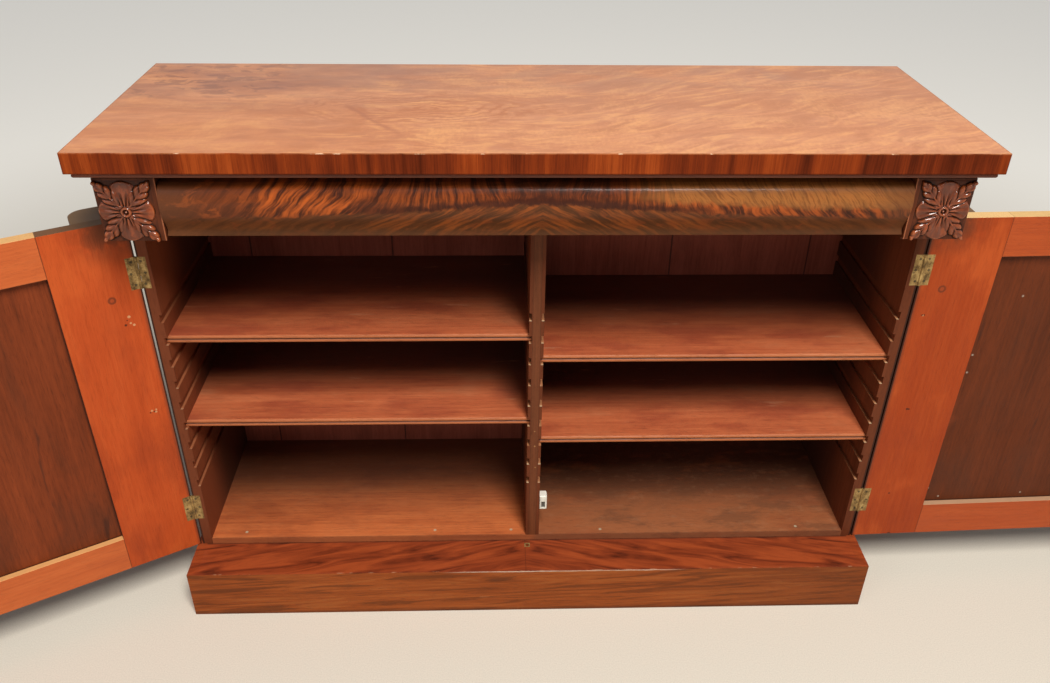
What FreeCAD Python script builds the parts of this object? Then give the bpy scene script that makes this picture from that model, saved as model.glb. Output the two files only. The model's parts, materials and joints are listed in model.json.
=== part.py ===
import FreeCAD, Part
import math
import os
from FreeCAD import Vector

# A two-door mahogany chiffonier with a cushion frieze drawer, standing open.
# Millimetres. X to the right, Y to the back, Z up. The origin is on the floor,
# at the centre of the plinth's footprint. Each sub-part is its own STEP file.

# Driving dimensions -----------------------------------------------------------

HEIGHT = 1058.8
TOP_WIDTH = 1473.0
TOP_DEPTH = 491.0
TOP_THICK = 34.3
TOP_FRONT_OVERHANG = 44.2
BAND_THICK = 1.5
ARRIS = 0.8

PLINTH_WIDTH = 1445.8
PLINTH_DEPTH = 444.8
PLINTH_HEIGHT = 116.9
PLINTH_BOARD = 20.0
LEDGE_THICK = 14.0
LEDGE_PROJECTION = 93.9
LEDGE_UNDER_CARCASS = 24.0
BEARER_WIDTH = 40.0
GLUE_BLOCK = 38.0

SIDE_OUTER = 712.0
SIDE_THICK = 21.3
BACK_BOARD_THICK = 9.0
BACK_REBATE = 11.0
BACK_BOARD_PITCH = 307.5
BACK_BOARD_FIRST_JOINT = -606.0
BACK_BOARD_GAP = 0.6
FLOOR_THICK = 14.3

PARTITION_LEFT = -10.0
PARTITION_RIGHT = 18.4
LINING_THICK = 6.5

GROOVE_COUNT = 9
GROOVE_PITCH = 49.6
GROOVE_FIRST = 287.6
GROOVE_HEIGHT = 17.0
GROOVE_DEPTH = 5.0

SHELF_THICK = 16.1
SHELF_SETBACK = 8.4
SHELF_END_PLAY = 0.4
SHELF_LIFT = 0.2
SHELF_GROOVES = {"shelf_left_upper": 7, "shelf_left_lower": 3, "shelf_right_upper": 6, "shelf_right_lower": 2}

FRIEZE_BOTTOM = 897.4
FRIEZE_TOP = 1005.7
DUST_BOARD_THICK = 17.0
TOP_RAIL_FRONT = 34.0
TOP_RAIL_WIDTH = 50.0

BLOCK_INNER = 611.1
BLOCK_OUTER = 709.5
BLOCK_SETBACK = 23.3
CARVING_DEPTH = 8.0
CARVING_GROUND = 2.0
CARVING_INSET = 8.0
CARVING_DROP = 3.5
LEAF_WIDTH = 30.0
LEAF_RELIEF = 7.0
LEAF_TIP_MARGIN = 1.0
PETAL_WIDTH = 36.0
PETAL_RELIEF = 5.0
PETAL_TIP_MARGIN = 1.5
BOSS_RADIUS = 9.5
BUTTON_RADIUS = 4.5
FILLET_HEIGHT = 8.8
FILLET_SETBACK = 50.0
FILLET_INSET = 5.0
SOFFIT_SETBACK = 78.0
PACKING_THICK = 20.0

MOULDING_SETBACK = 8.4
MOULDING_HEIGHT = 10.0
MOULDING_DEPTH = 16.0
MOULDING_QUIRK = 1.2

DRAWER_HALF_WIDTH = 609.6
DRAWER_SIDE_OUTER = 600.0
DRAWER_SIDE_THICK = 11.0
DRAWER_SIDE_TOP = 985.0
DRAWER_PLAY = 0.2
DRAWER_FRONT_BACK = 62.0
DRAWER_REAR = 463.4
DRAWER_BOTTOM_THICK = 7.0
DRAWER_BOTTOM_RISE = 5.0
DRAWER_BOTTOM_LET_IN = 5.0
DRAWER_BACK_THICK = 11.0
DRAWER_BACK_DROP = 9.0
MUNTIN_HALF = 18.0
MUNTIN_LET_IN = 10.0
MUNTIN_RIB = 4.0
GUIDE_PLAY = 1.5
GUIDE_WIDTH = 20.0
GUIDE_HEIGHT = 22.0
KICKER_COVER = 18.0
KICKER_PLAY = 2.0
STOP_X = 280.0
STOP_LENGTH = 40.0
STOP_DEPTH = 9.0
STOP_HEIGHT = 14.0
STOP_PLAY = 0.3

HINGE_OFFSET = 2.9
HINGE_HEIGHTS = (222.0, 782.0)
HINGE_LENGTH = 63.8
HINGE_LEAF_WIDTH = 15.0
HINGE_LEAF_THICK = 1.6
HINGE_BARREL_RADIUS = 2.5
HINGE_PIN_RADIUS = 1.25
HINGE_PIN_PLAY = 0.05
HINGE_KNUCKLES = 5
HINGE_KNUCKLE_GAP = 0.3
HINGE_PIN_PROUD = 0.6
HINGE_BRIDGE_LAP = 0.5
HINGE_BARREL_PLAY = 0.3
SCREW_HEAD = 2.6
SCREW_HEAD_DEPTH = 1.6
SCREW_SHANK = 1.3
SCREW_LENGTH = 12.0
SCREW_SLOT = 0.6
SCREW_SPACING = 23.0
SCREW_STAGGER = 2.0

DOOR_GAP = 0.6
DOOR_EDGE = 0.1
DOOR_MEETING_GAP = 1.5
DOOR_BOTTOM = 118.5
DOOR_TOP = 886.3
DOOR_THICK = 23.9
HINGE_STILE_REACH = 145.2
MEETING_STILE_WIDTH = 76.0
TOP_RAIL_HEIGHT = 80.2
BOTTOM_RAIL_HEIGHT = 81.5
PANEL_BACK_RECESS = 13.0
PANEL_THICK = 7.0
PANEL_TONGUE = 8.0
BEAD_WIDTH = 11.0
BEAD_PROUD = 3.0
BEAD_ROUND = 5.5

LEFT_DOOR_OPEN_DEG = 150.6
RIGHT_DOOR_OPEN_DEG = 182.1

CONSOLE_INNER = 8.0
CONSOLE_WIDTH = 78.0
CONSOLE_PROUD = 62.1
CONSOLE_TOP = 885.0
CONSOLE_BOTTOM = 119.6
CONSOLE_BASE_HEIGHT = 62.0
CONSOLE_BASE_DEPTH = 44.0
CONSOLE_BASE_ROUND = 4.0
CONSOLE_CAP_HEIGHT = 20.0
CONSOLE_CAP_CORNER = 28.0
CONSOLE_SHAFT_INSET = 5.0
CONSOLE_SHAFT_FOOT = 34.0
CONSOLE_SHAFT_WAIST = 20.0
CONSOLE_WAIST_RISE = 360.0
VOLUTE_RADIUS = 26.0

LOCK_HEIGHT = 500.0
LOCK_LENGTH = 60.0
LOCK_HALF = 20.0
LOCK_THICK = 10.0
LOCK_WALL = 1.5
LOCK_INSET = 0.4
LOCK_BOLT_RISE = 3.0
LOCK_BOLT_HEIGHT = 9.0
LOCK_BOLT_LENGTH = 42.0
LOCK_BOLT_TAIL = 3.2
LOCK_BOLT_W0 = 3.0
LOCK_BOLT_W1 = 8.0
LOCK_BOLT_PLAY = 0.2

KEY_INSET = 36.0
KEY_RADIUS = 2.4
KEY_START = 2.5
KEY_SHANK = 44.0
KEY_BIT = 8.0
KEY_COLLAR_PLACE = 30.0
KEY_COLLAR_LENGTH = 3.0
KEY_BOW_PLACE = 56.4
KEY_BOW_RADIUS = 12.5
KEY_BOW_WIRE = 2.3
KEYHOLE_PLAY = 0.9
KEYHOLE_DROP = 12.0
ESCUTCHEON_HALF = 9.0
ESCUTCHEON_THICK = 1.2
ESCUTCHEON_BELOW = 19.0
ESCUTCHEON_ABOVE = 11.0

STRIKE_THICK = 1.5
STRIKE_W0 = 1.0
STRIKE_W1 = 12.0
STRIKE_BELOW = 14.0
STRIKE_ABOVE = 22.0
STRIKE_PLAY = 0.6
MORTISE_DEPTH = 12.0

BOLT_INSET = 6.5
BOLT_W = 16.0
BOLT_RADIUS = 3.0
BOLT_PLAY = 0.5
BOLT_ROD_HEIGHT = 86.0
BOLT_PLATE_HEIGHT = 110.0
BOLT_PLATE_THICK = 1.6
BOLT_PLATE_W0 = 10.0
BOLT_PLATE_W1 = 22.0
BOLT_FOOT_CLEAR = 0.4
BOLT_SLOT_LENGTH = 30.0
BOLT_SLOT_HALF = 2.6
STUD_HALF = 2.2
STUD_LENGTH = 10.0
KEEPER_HALF_WIDTH = 6.0
KEEPER_HALF_DEPTH = 6.0
KEEPER_THICK = 1.4
KEEPER_PROUD = 0.2
KEEPER_PLAY = 0.7

CATCH_BOTTOM = 200.0
CATCH_TOP = 237.0
CATCH_SETBACK = 5.0
CATCH_DEPTH = 18.0
CATCH_WIDTH = 16.1
CATCH_ROUND = 2.5
CATCH_MOUTH_RISE = 5.0
CATCH_MOUTH_HEIGHT = 17.0
CATCH_MOUTH_DEPTH = 8.0
CATCH_WALL = 4.0
CATCH_STRIKE_THICK = 2.0
CATCH_STRIKE_HALF = 4.5

# The drawer front's curve, as (depth behind the top's front edge, height).
CUSHION_CURVE = [(36.0, 903.5), (40.5, 909.5), (37.5, 921.0), (28.0, 939.0),
                 (22.8, 960.0), (25.0, 977.0), (31.5, 989.5), (41.0, 995.5)]

# Derived places ---------------------------------------------------------------

PLINTH_FRONT = -PLINTH_DEPTH / 2
BACK = PLINTH_DEPTH / 2
TOP_FRONT = PLINTH_FRONT - TOP_FRONT_OVERHANG
TOP_BACK = TOP_FRONT + TOP_DEPTH
CARCASS_FRONT = PLINTH_FRONT + LEDGE_PROJECTION
TOP_UNDERSIDE = HEIGHT - TOP_THICK
SIDE_INNER = SIDE_OUTER - SIDE_THICK
BACK_BOARD_FRONT = BACK - BACK_BOARD_THICK
FLOOR_TOP = PLINTH_HEIGHT + FLOOR_THICK
DUST_BOARD_BOTTOM = FRIEZE_BOTTOM - DUST_BOARD_THICK
HALF_PLINTH = PLINTH_WIDTH / 2
AXIS_X = SIDE_OUTER + HINGE_OFFSET
AXIS_Y = CARCASS_FRONT - DOOR_GAP / 2
DOOR_BACK_PLANE = CARCASS_FRONT - DOOR_GAP
DOOR_REACH = AXIS_X - DOOR_MEETING_GAP / 2
MEETING_STILE_START = DOOR_REACH - MEETING_STILE_WIDTH
PANEL_FRONT = PANEL_BACK_RECESS + PANEL_THICK
DRAWER_BOTTOM = FRIEZE_BOTTOM + DRAWER_PLAY
DRAWER_SIDE_INNER = DRAWER_SIDE_OUTER - DRAWER_SIDE_THICK
DRAWER_FRONT_REAR = TOP_FRONT + DRAWER_FRONT_BACK
DRAWER_BACK_REAR = TOP_FRONT + DRAWER_REAR
CARVING_PLANE = TOP_FRONT + BLOCK_SETBACK + CARVING_DEPTH
LOCK_REACH = DOOR_REACH - LOCK_INSET
KEY_U = DOOR_REACH - KEY_INSET
BOLT_U = DOOR_REACH - BOLT_INSET
BOLT_ROD_TOP = DOOR_BOTTOM + BOLT_ROD_HEIGHT
CATCH_FRONT = CARCASS_FRONT + CATCH_SETBACK


# Helpers ----------------------------------------------------------------------

def box(x0, x1, y0, y1, z0, z1):
    """A block between two corners."""
    return Part.makeBox(x1 - x0, y1 - y0, z1 - z0, Vector(x0, y0, z0))


def both_sides(shape):
    """The shape and its mirror image across the plane X = 0."""
    return [shape, mirrored(shape)]


def mirrored(shape):
    return shape.mirror(Vector(0, 0, 0), Vector(1, 0, 0))


def group(shapes):
    """Separate solids that share one file."""
    return Part.makeCompound(shapes)


def prism(points, direction):
    """A straight-sided solid over a closed outline of corner points."""
    outline = Part.makePolygon(list(points) + [points[0]])
    return Part.Face(outline).extrude(direction)


def along_x(profile, x0, x1):
    """A solid along X over an outline of (y, z) corners."""
    return prism([Vector(x0, y, z) for y, z in profile], Vector(x1 - x0, 0, 0))


def upright(profile, z0, z1):
    """A solid along Z over an outline of (x, y) corners."""
    return prism([Vector(x, y, z0) for x, y in profile], Vector(0, 0, z1 - z0))


def edges_where(shape, test):
    """The shape's edges whose two end points both pass the test."""
    return [e for e in shape.Edges if all(test(v.Point) for v in e.Vertexes)]


def eased(shape, test, radius=ARRIS):
    """The shape with the edges that pass the test rounded."""
    edges = edges_where(shape, test)
    return shape.makeFillet(radius, edges)


def near(a, b):
    return abs(a - b) < 0.01


def export(shape, node):
    shape.exportStep("parts/" + node + ".step")


# Plinth -----------------------------------------------------------------------

def plinth_front():
    """The front board, mitred at both ends and where it meets the ledge."""
    x = HALF_PLINTH
    y0 = PLINTH_FRONT
    y1 = y0 + PLINTH_BOARD
    board = upright([(-x, y0), (x, y0), (x - PLINTH_BOARD, y1), (-x + PLINTH_BOARD, y1)], 0, PLINTH_HEIGHT)
    slope = [(y0, PLINTH_HEIGHT), (y1, PLINTH_HEIGHT - LEDGE_THICK), (y1, PLINTH_HEIGHT)]
    board = board.cut(along_x(slope, -x, x))
    return eased(board, lambda p: near(p.y, y0) and near(p.z, PLINTH_HEIGHT), 0.4)


def plinth_ledge():
    """The veneered ledge on which the closed doors stand, with the hole for the left door's bolt."""
    x = HALF_PLINTH - PLINTH_BOARD
    y1 = PLINTH_FRONT + PLINTH_BOARD
    z0 = PLINTH_HEIGHT - LEDGE_THICK
    back = CARCASS_FRONT + LEDGE_UNDER_CARCASS
    profile = [(PLINTH_FRONT, PLINTH_HEIGHT), (y1, z0), (back, z0), (back, PLINTH_HEIGHT)]
    ledge = along_x(profile, -HALF_PLINTH, HALF_PLINTH)
    out = HALF_PLINTH + 1
    corner = [(x, y1), (HALF_PLINTH, PLINTH_FRONT), (out, PLINTH_FRONT), (out, BACK), (x, BACK)]
    for waste in both_sides(upright(corner, z0 - 1, PLINTH_HEIGHT + 1)):
        ledge = ledge.cut(waste)
    return ledge.cut(keeper_plate_blank()).cut(bolt_bore(z0 - 1))


def plinth_frame():
    """The two ends, the back and the centre bearer."""
    x = HALF_PLINTH
    y0 = PLINTH_FRONT
    plan = [(x, y0), (x, BACK), (x - PLINTH_BOARD, BACK), (x - PLINTH_BOARD, y0 + PLINTH_BOARD)]
    ends = both_sides(upright(plan, 0, PLINTH_HEIGHT))
    inner = x - PLINTH_BOARD
    back = box(-inner, inner, BACK - PLINTH_BOARD, BACK, 0, PLINTH_HEIGHT)
    bearer_y0 = y0 + PLINTH_BOARD
    bearer_y1 = BACK - PLINTH_BOARD
    half = BEARER_WIDTH / 2
    bearer = box(-half, half, bearer_y0, bearer_y1, 0, PLINTH_HEIGHT)
    ledge_back = CARCASS_FRONT + LEDGE_UNDER_CARCASS
    bearer = bearer.cut(box(-half, half, bearer_y0, ledge_back, PLINTH_HEIGHT - LEDGE_THICK, PLINTH_HEIGHT))
    return group(ends + [back, bearer])


def plinth_glue_blocks():
    """Three-cornered blocks rubbed into the corners of the plinth."""
    x = HALF_PLINTH - PLINTH_BOARD
    front = PLINTH_FRONT + PLINTH_BOARD
    back = BACK - PLINTH_BOARD
    z1 = PLINTH_HEIGHT - LEDGE_THICK
    blocks = []
    for y, step in ((front, GLUE_BLOCK), (back, -GLUE_BLOCK)):
        blocks += both_sides(upright([(x, y), (x - GLUE_BLOCK, y), (x, y + step)], 2, z1))
    return group(blocks)


# Carcass ----------------------------------------------------------------------

def groove_bottom(number):
    return GROOVE_FIRST + number * GROOVE_PITCH - GROOVE_HEIGHT / 2


def grooves(face_x, direction):
    """Cutters for the shelf grooves that run out through the front edge."""
    x0, x1 = sorted((face_x - direction, face_x + direction * GROOVE_DEPTH))
    cutters = []
    for number in range(GROOVE_COUNT):
        z = groove_bottom(number)
        cutters.append(box(x0, x1, CARCASS_FRONT - 1, BACK_BOARD_FRONT, z, z + GROOVE_HEIGHT))
    return cutters


def side_right():
    """A grooved side board with a rebate for the back and beds for the hinge leaves."""
    board = box(SIDE_INNER, SIDE_OUTER, CARCASS_FRONT, BACK, PLINTH_HEIGHT, TOP_UNDERSIDE)
    board = eased(board, lambda p: near(p.y, CARCASS_FRONT), 0.5)
    rebate = box(SIDE_INNER, SIDE_INNER + BACK_REBATE, BACK_BOARD_FRONT, BACK, PLINTH_HEIGHT, TOP_UNDERSIDE)
    board = board.cut(rebate)
    for cutter in grooves(SIDE_INNER, 1):
        board = board.cut(cutter)
    for z in HINGE_HEIGHTS:
        board = board.cut(carcass_leaf_plate(z))
        for screw in leaf_screws(z, 1):
            board = board.cut(screw)
    return board


def side_left():
    return mirrored(side_right())


def floor_board():
    return box(-SIDE_INNER, SIDE_INNER, CARCASS_FRONT, BACK_BOARD_FRONT, PLINTH_HEIGHT, FLOOR_TOP)


def dust_board():
    """The full-depth board between the cupboards and the drawer."""
    return box(-SIDE_INNER, SIDE_INNER, CARCASS_FRONT, BACK_BOARD_FRONT, DUST_BOARD_BOTTOM, FRIEZE_BOTTOM)


def partition_core():
    x0 = PARTITION_LEFT + LINING_THICK
    x1 = PARTITION_RIGHT - LINING_THICK
    return box(x0, x1, CARCASS_FRONT, BACK_BOARD_FRONT, FLOOR_TOP, DUST_BOARD_BOTTOM)


def partition_linings():
    """The thin grooved boards planted on both faces of the partition."""
    linings = []
    for face_x, direction in ((PARTITION_LEFT, 1), (PARTITION_RIGHT, -1)):
        x0, x1 = sorted((face_x, face_x + direction * LINING_THICK))
        lining = box(x0, x1, CARCASS_FRONT, BACK_BOARD_FRONT, FLOOR_TOP, DUST_BOARD_BOTTOM)
        lining = eased(lining, lambda p: near(p.y, CARCASS_FRONT) and near(p.x, face_x), 0.5)
        for cutter in grooves(face_x, direction):
            lining = lining.cut(cutter)
        linings.append(lining)
    return group(linings)


def back_boards():
    """Vertical planks in the rebates of the sides."""
    edge = SIDE_INNER + BACK_REBATE
    joints = [BACK_BOARD_FIRST_JOINT + i * BACK_BOARD_PITCH for i in range(5)]
    stops = [-edge] + joints + [edge]
    half_gap = BACK_BOARD_GAP / 2
    boards = []
    for x0, x1 in zip(stops[:-1], stops[1:]):
        boards.append(box(x0 + half_gap, x1 - half_gap, BACK_BOARD_FRONT, BACK, PLINTH_HEIGHT, TOP_UNDERSIDE))
    return group(boards)


def top_frame():
    """The rails under the top: one deep rail over the frieze, one at the back and one at each end."""
    front_y = TOP_FRONT + TOP_RAIL_FRONT
    front = box(-BLOCK_OUTER, BLOCK_OUTER, front_y, CARCASS_FRONT, FRIEZE_TOP, TOP_UNDERSIDE)
    rear_y = BACK_BOARD_FRONT - TOP_RAIL_WIDTH
    rear = box(-SIDE_INNER, SIDE_INNER, rear_y, BACK_BOARD_FRONT, FRIEZE_TOP, TOP_UNDERSIDE)
    end = box(SIDE_INNER - TOP_RAIL_WIDTH, SIDE_INNER, CARCASS_FRONT, rear_y, FRIEZE_TOP, TOP_UNDERSIDE)
    return group([front, rear] + both_sides(end))


# Top --------------------------------------------------------------------------

def top_board():
    x = TOP_WIDTH / 2 - BAND_THICK
    return box(-x, x, TOP_FRONT + BAND_THICK, TOP_BACK, TOP_UNDERSIDE, HEIGHT)


def top_edge_bands():
    """Saw-cut cross-banding on the front and both ends, mitred at the corners."""
    x = TOP_WIDTH / 2
    y = TOP_FRONT
    t = BAND_THICK
    front = upright([(-x, y), (x, y), (x - t, y + t), (-x + t, y + t)], TOP_UNDERSIDE, HEIGHT)
    front = eased(front, lambda p: near(p.y, y) and (near(p.z, HEIGHT) or near(p.z, TOP_UNDERSIDE)))
    end = upright([(x, y), (x, TOP_BACK), (x - t, TOP_BACK), (x - t, y + t)], TOP_UNDERSIDE, HEIGHT)
    end = eased(end, lambda p: near(p.x, x) and (near(p.z, HEIGHT) or near(p.z, TOP_UNDERSIDE)))
    return group([front] + both_sides(end))


def moulding_section(start, inward):
    """A bead over a quirk, as a face at the start point, with its depth along the inward direction."""
    h = MOULDING_HEIGHT
    r = (h - MOULDING_QUIRK) / 2
    up = Vector(0, 0, 1)
    corner = start + inward * MOULDING_DEPTH
    low = start + inward * r
    high = low + up * (2 * r)
    quirk_foot = start + inward * (2 * r) + up * (2 * r)
    quirk_head = start + inward * (2 * r) + up * h
    edges = [
        Part.LineSegment(corner, low).toShape(),
        Part.Arc(low, start + up * r, high).toShape(),
        Part.LineSegment(high, quirk_foot).toShape(),
        Part.LineSegment(quirk_foot, quirk_head).toShape(),
        Part.LineSegment(quirk_head, corner + up * h).toShape(),
        Part.LineSegment(corner + up * h, corner).toShape(),
    ]
    return Part.Face(Part.Wire(edges))


def top_moulding():
    """The bead under the top's front and ends, mitred at the corners."""
    y = TOP_FRONT + MOULDING_SETBACK
    x = SIDE_OUTER + MOULDING_DEPTH
    z = TOP_UNDERSIDE - MOULDING_HEIGHT
    far = 200.0
    front = moulding_section(Vector(-x, y, z), Vector(0, 1, 0)).extrude(Vector(2 * x, 0, 0))
    end = moulding_section(Vector(x, y, z), Vector(-1, 0, 0)).extrude(Vector(0, BACK - y, 0))
    ahead = [(x, y), (x + far, y - far), (x - far, y - far), (x - far, y + far)]
    behind = [(x, y), (x + far, y), (x + far, y + far), (x - far, y + far)]
    ahead_of_mitre = upright(ahead, z - 1, HEIGHT)
    behind_mitre = upright(behind, z - 1, HEIGHT)
    for waste in both_sides(behind_mitre):
        front = front.cut(waste)
    end = end.cut(ahead_of_mitre)
    return group([front] + both_sides(end))


# Frieze -----------------------------------------------------------------------

def frieze_block_right():
    """The block over the door's console, with a set-back fillet under it."""
    block = box(BLOCK_INNER, BLOCK_OUTER, CARVING_PLANE, CARCASS_FRONT, FRIEZE_BOTTOM, FRIEZE_TOP)
    fillet_x = BLOCK_INNER + FILLET_INSET
    fillet_z = FRIEZE_BOTTOM - FILLET_HEIGHT
    fillet = box(fillet_x, BLOCK_OUTER, TOP_FRONT + FILLET_SETBACK, CARCASS_FRONT, fillet_z, FRIEZE_BOTTOM)
    return block.fuse(fillet).removeSplitter()


def frieze_block_left():
    return mirrored(frieze_block_right())


def soffit_board():
    """The thin board that closes the frieze from below between the two blocks."""
    x = BLOCK_INNER + FILLET_INSET
    z0 = FRIEZE_BOTTOM - FILLET_HEIGHT
    return box(-x, x, TOP_FRONT + SOFFIT_SETBACK, CARCASS_FRONT, z0, FRIEZE_BOTTOM)


def block_packings():
    """The boards behind the blocks, which tie them to the sides."""
    y1 = CARCASS_FRONT + PACKING_THICK
    packing = box(BLOCK_INNER, SIDE_INNER, CARCASS_FRONT, y1, FRIEZE_BOTTOM, FRIEZE_TOP)
    return group(both_sides(packing))


def leaf_outline(centre, angle, length, width):
    """A pointed leaf from the centre, as a face in the XZ plane."""
    along = Vector(math.cos(angle), 0, math.sin(angle))
    across = Vector(-math.sin(angle), 0, math.cos(angle))
    tip = centre + along * length
    middle = centre + along * (0.55 * length)
    left = Part.Arc(centre, middle + across * (width / 2), tip).toShape()
    right = Part.Arc(tip, middle - across * (width / 2), centre).toShape()
    return Part.Face(Part.Wire([left, right]))


def patera_right():
    """The carved square flower on the block: four corner leaves, four petals, a ring and a button."""
    face = CARVING_PLANE
    inner = BLOCK_INNER + CARVING_INSET
    top = FRIEZE_TOP - CARVING_DROP
    half_w = (BLOCK_OUTER - inner) / 2
    half_h = (top - FRIEZE_BOTTOM) / 2
    centre = Vector(inner + half_w, face, FRIEZE_BOTTOM + half_h)
    flower = box(inner, BLOCK_OUTER, face - CARVING_GROUND, face, FRIEZE_BOTTOM, top)
    corner_angle = math.atan2(half_h, half_w)
    corner_length = math.hypot(half_w, half_h) - LEAF_TIP_MARGIN
    for angle in (corner_angle, math.pi - corner_angle, math.pi + corner_angle, -corner_angle):
        leaf = leaf_outline(centre, angle, corner_length, LEAF_WIDTH).extrude(Vector(0, -LEAF_RELIEF, 0))
        flower = flower.fuse(leaf)
    for angle, length in ((0, half_w), (math.pi / 2, half_h), (math.pi, half_w), (-math.pi / 2, half_h)):
        outline = leaf_outline(centre, angle, length - PETAL_TIP_MARGIN, PETAL_WIDTH)
        petal = outline.extrude(Vector(0, -PETAL_RELIEF, 0))
        flower = flower.fuse(petal)
    forward = Vector(0, -1, 0)
    boss = Part.makeCylinder(BOSS_RADIUS, LEAF_RELIEF, centre, forward)
    button = Part.makeCylinder(BUTTON_RADIUS, CARVING_DEPTH, centre, forward)
    return flower.fuse(boss).fuse(button).removeSplitter()


def patera_left():
    return mirrored(patera_right())


# Drawer -----------------------------------------------------------------------

def drawer_front():
    """The cushion front: a long swelling curve over a hollow and a lip."""
    points = [Vector(-DRAWER_HALF_WIDTH, TOP_FRONT + y, z) for y, z in CUSHION_CURVE]
    curve = Part.BSplineCurve()
    curve.interpolate(points)
    top_back = Vector(-DRAWER_HALF_WIDTH, DRAWER_FRONT_REAR, points[-1].z)
    bottom_back = Vector(-DRAWER_HALF_WIDTH, DRAWER_FRONT_REAR, points[0].z)
    edges = [
        curve.toShape(),
        Part.LineSegment(points[-1], top_back).toShape(),
        Part.LineSegment(top_back, bottom_back).toShape(),
        Part.LineSegment(bottom_back, points[0]).toShape(),
    ]
    return Part.Face(Part.Wire(edges)).extrude(Vector(2 * DRAWER_HALF_WIDTH, 0, 0))


def drawer_bottom_panels():
    """The two bottom boards, let into the sides and the muntin and running under the back."""
    z0 = DRAWER_BOTTOM + DRAWER_BOTTOM_RISE
    z1 = z0 + DRAWER_BOTTOM_THICK
    x0 = MUNTIN_HALF - MUNTIN_LET_IN
    x1 = DRAWER_SIDE_INNER + DRAWER_BOTTOM_LET_IN
    return both_sides(box(x0, x1, DRAWER_FRONT_REAR, DRAWER_BACK_REAR, z0, z1))


def drawer_bottoms():
    return group(drawer_bottom_panels())


def drawer_side_right():
    x0 = DRAWER_SIDE_INNER
    x1 = DRAWER_SIDE_OUTER
    side = box(x0, x1, DRAWER_FRONT_REAR, DRAWER_BACK_REAR, DRAWER_BOTTOM, DRAWER_SIDE_TOP)
    side = eased(side, lambda p: near(p.z, DRAWER_SIDE_TOP), 2.0)
    return side.cut(drawer_bottom_panels()[0])


def drawer_side_left():
    return mirrored(drawer_side_right())


def drawer_back():
    x = DRAWER_SIDE_INNER
    y0 = DRAWER_BACK_REAR - DRAWER_BACK_THICK
    z0 = DRAWER_BOTTOM + DRAWER_BOTTOM_RISE + DRAWER_BOTTOM_THICK
    return box(-x, x, y0, DRAWER_BACK_REAR, z0, DRAWER_SIDE_TOP - DRAWER_BACK_DROP)


def drawer_muntin():
    """The rib along the middle of the bottom, grooved for both bottom boards."""
    y1 = DRAWER_BACK_REAR - DRAWER_BACK_THICK
    z1 = DRAWER_BOTTOM + DRAWER_BOTTOM_RISE + DRAWER_BOTTOM_THICK + MUNTIN_RIB
    muntin = box(-MUNTIN_HALF, MUNTIN_HALF, DRAWER_FRONT_REAR, y1, DRAWER_BOTTOM, z1)
    for panel in drawer_bottom_panels():
        muntin = muntin.cut(panel)
    return muntin


def drawer_guides():
    """Guides beside the drawer and kickers over it, from the packings to the back."""
    x0 = DRAWER_SIDE_OUTER + GUIDE_PLAY
    x1 = x0 + GUIDE_WIDTH
    y0 = CARCASS_FRONT + PACKING_THICK
    y1 = BACK_BOARD_FRONT
    guide = box(x0, x1, y0, y1, FRIEZE_BOTTOM, FRIEZE_BOTTOM + GUIDE_HEIGHT)
    kicker = box(x0 - KICKER_COVER, x1, y0, y1, DRAWER_SIDE_TOP + KICKER_PLAY, FRIEZE_TOP)
    return group(both_sides(guide) + both_sides(kicker))


def drawer_stops():
    """Small blocks on the dust board behind the closed drawer."""
    y0 = DRAWER_BACK_REAR + STOP_PLAY
    z0 = FRIEZE_BOTTOM
    stop = box(STOP_X, STOP_X + STOP_LENGTH, y0, y0 + STOP_DEPTH, z0, z0 + STOP_HEIGHT)
    return group(both_sides(stop))


# Shelves ----------------------------------------------------------------------

def shelf(node):
    """A loose shelf with a double bead on its front edge, its ends in the grooves."""
    reach = GROOVE_DEPTH - SHELF_END_PLAY
    if "left" in node:
        x0 = -SIDE_INNER - reach
        x1 = PARTITION_LEFT + reach
    else:
        x0 = PARTITION_RIGHT - reach
        x1 = SIDE_INNER + reach
    z0 = groove_bottom(SHELF_GROOVES[node]) + SHELF_LIFT
    z1 = z0 + SHELF_THICK
    y0 = CARCASS_FRONT + SHELF_SETBACK
    y1 = BACK_BOARD_FRONT - 1.0
    r = SHELF_THICK / 4
    nose = y0 + r
    middle = z0 + 2 * r
    edges = [
        Part.Arc(Vector(x0, nose, z0), Vector(x0, y0, z0 + r), Vector(x0, nose, middle)).toShape(),
        Part.Arc(Vector(x0, nose, middle), Vector(x0, y0, middle + r), Vector(x0, nose, z1)).toShape(),
        Part.LineSegment(Vector(x0, nose, z1), Vector(x0, y1, z1)).toShape(),
        Part.LineSegment(Vector(x0, y1, z1), Vector(x0, y1, z0)).toShape(),
        Part.LineSegment(Vector(x0, y1, z0), Vector(x0, nose, z0)).toShape(),
    ]
    return Part.Face(Part.Wire(edges)).extrude(Vector(x1 - x0, 0, 0))


# Doors, drawn shut on the left and then hung ----------------------------------

def leaf_box(u0, u1, w0, w1, z0, z1):
    """A block in the left door: u from the hinge axis, w outward from the back face."""
    y = DOOR_BACK_PLANE
    return box(-AXIS_X + u0, -AXIS_X + u1, y - w1, y - w0, z0, z1)


def hung(shape, side):
    """The shape of the shut left door, turned open on its hinges, or mirrored for the right door."""
    turned = shape.copy()
    if side == "left":
        turned.rotate(Vector(-AXIS_X, AXIS_Y, 0), Vector(0, 0, -1), LEFT_DOOR_OPEN_DEG)
        return turned
    turned = mirrored(turned)
    turned.rotate(Vector(AXIS_X, AXIS_Y, 0), Vector(0, 0, 1), RIGHT_DOOR_OPEN_DEG)
    return turned


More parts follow.
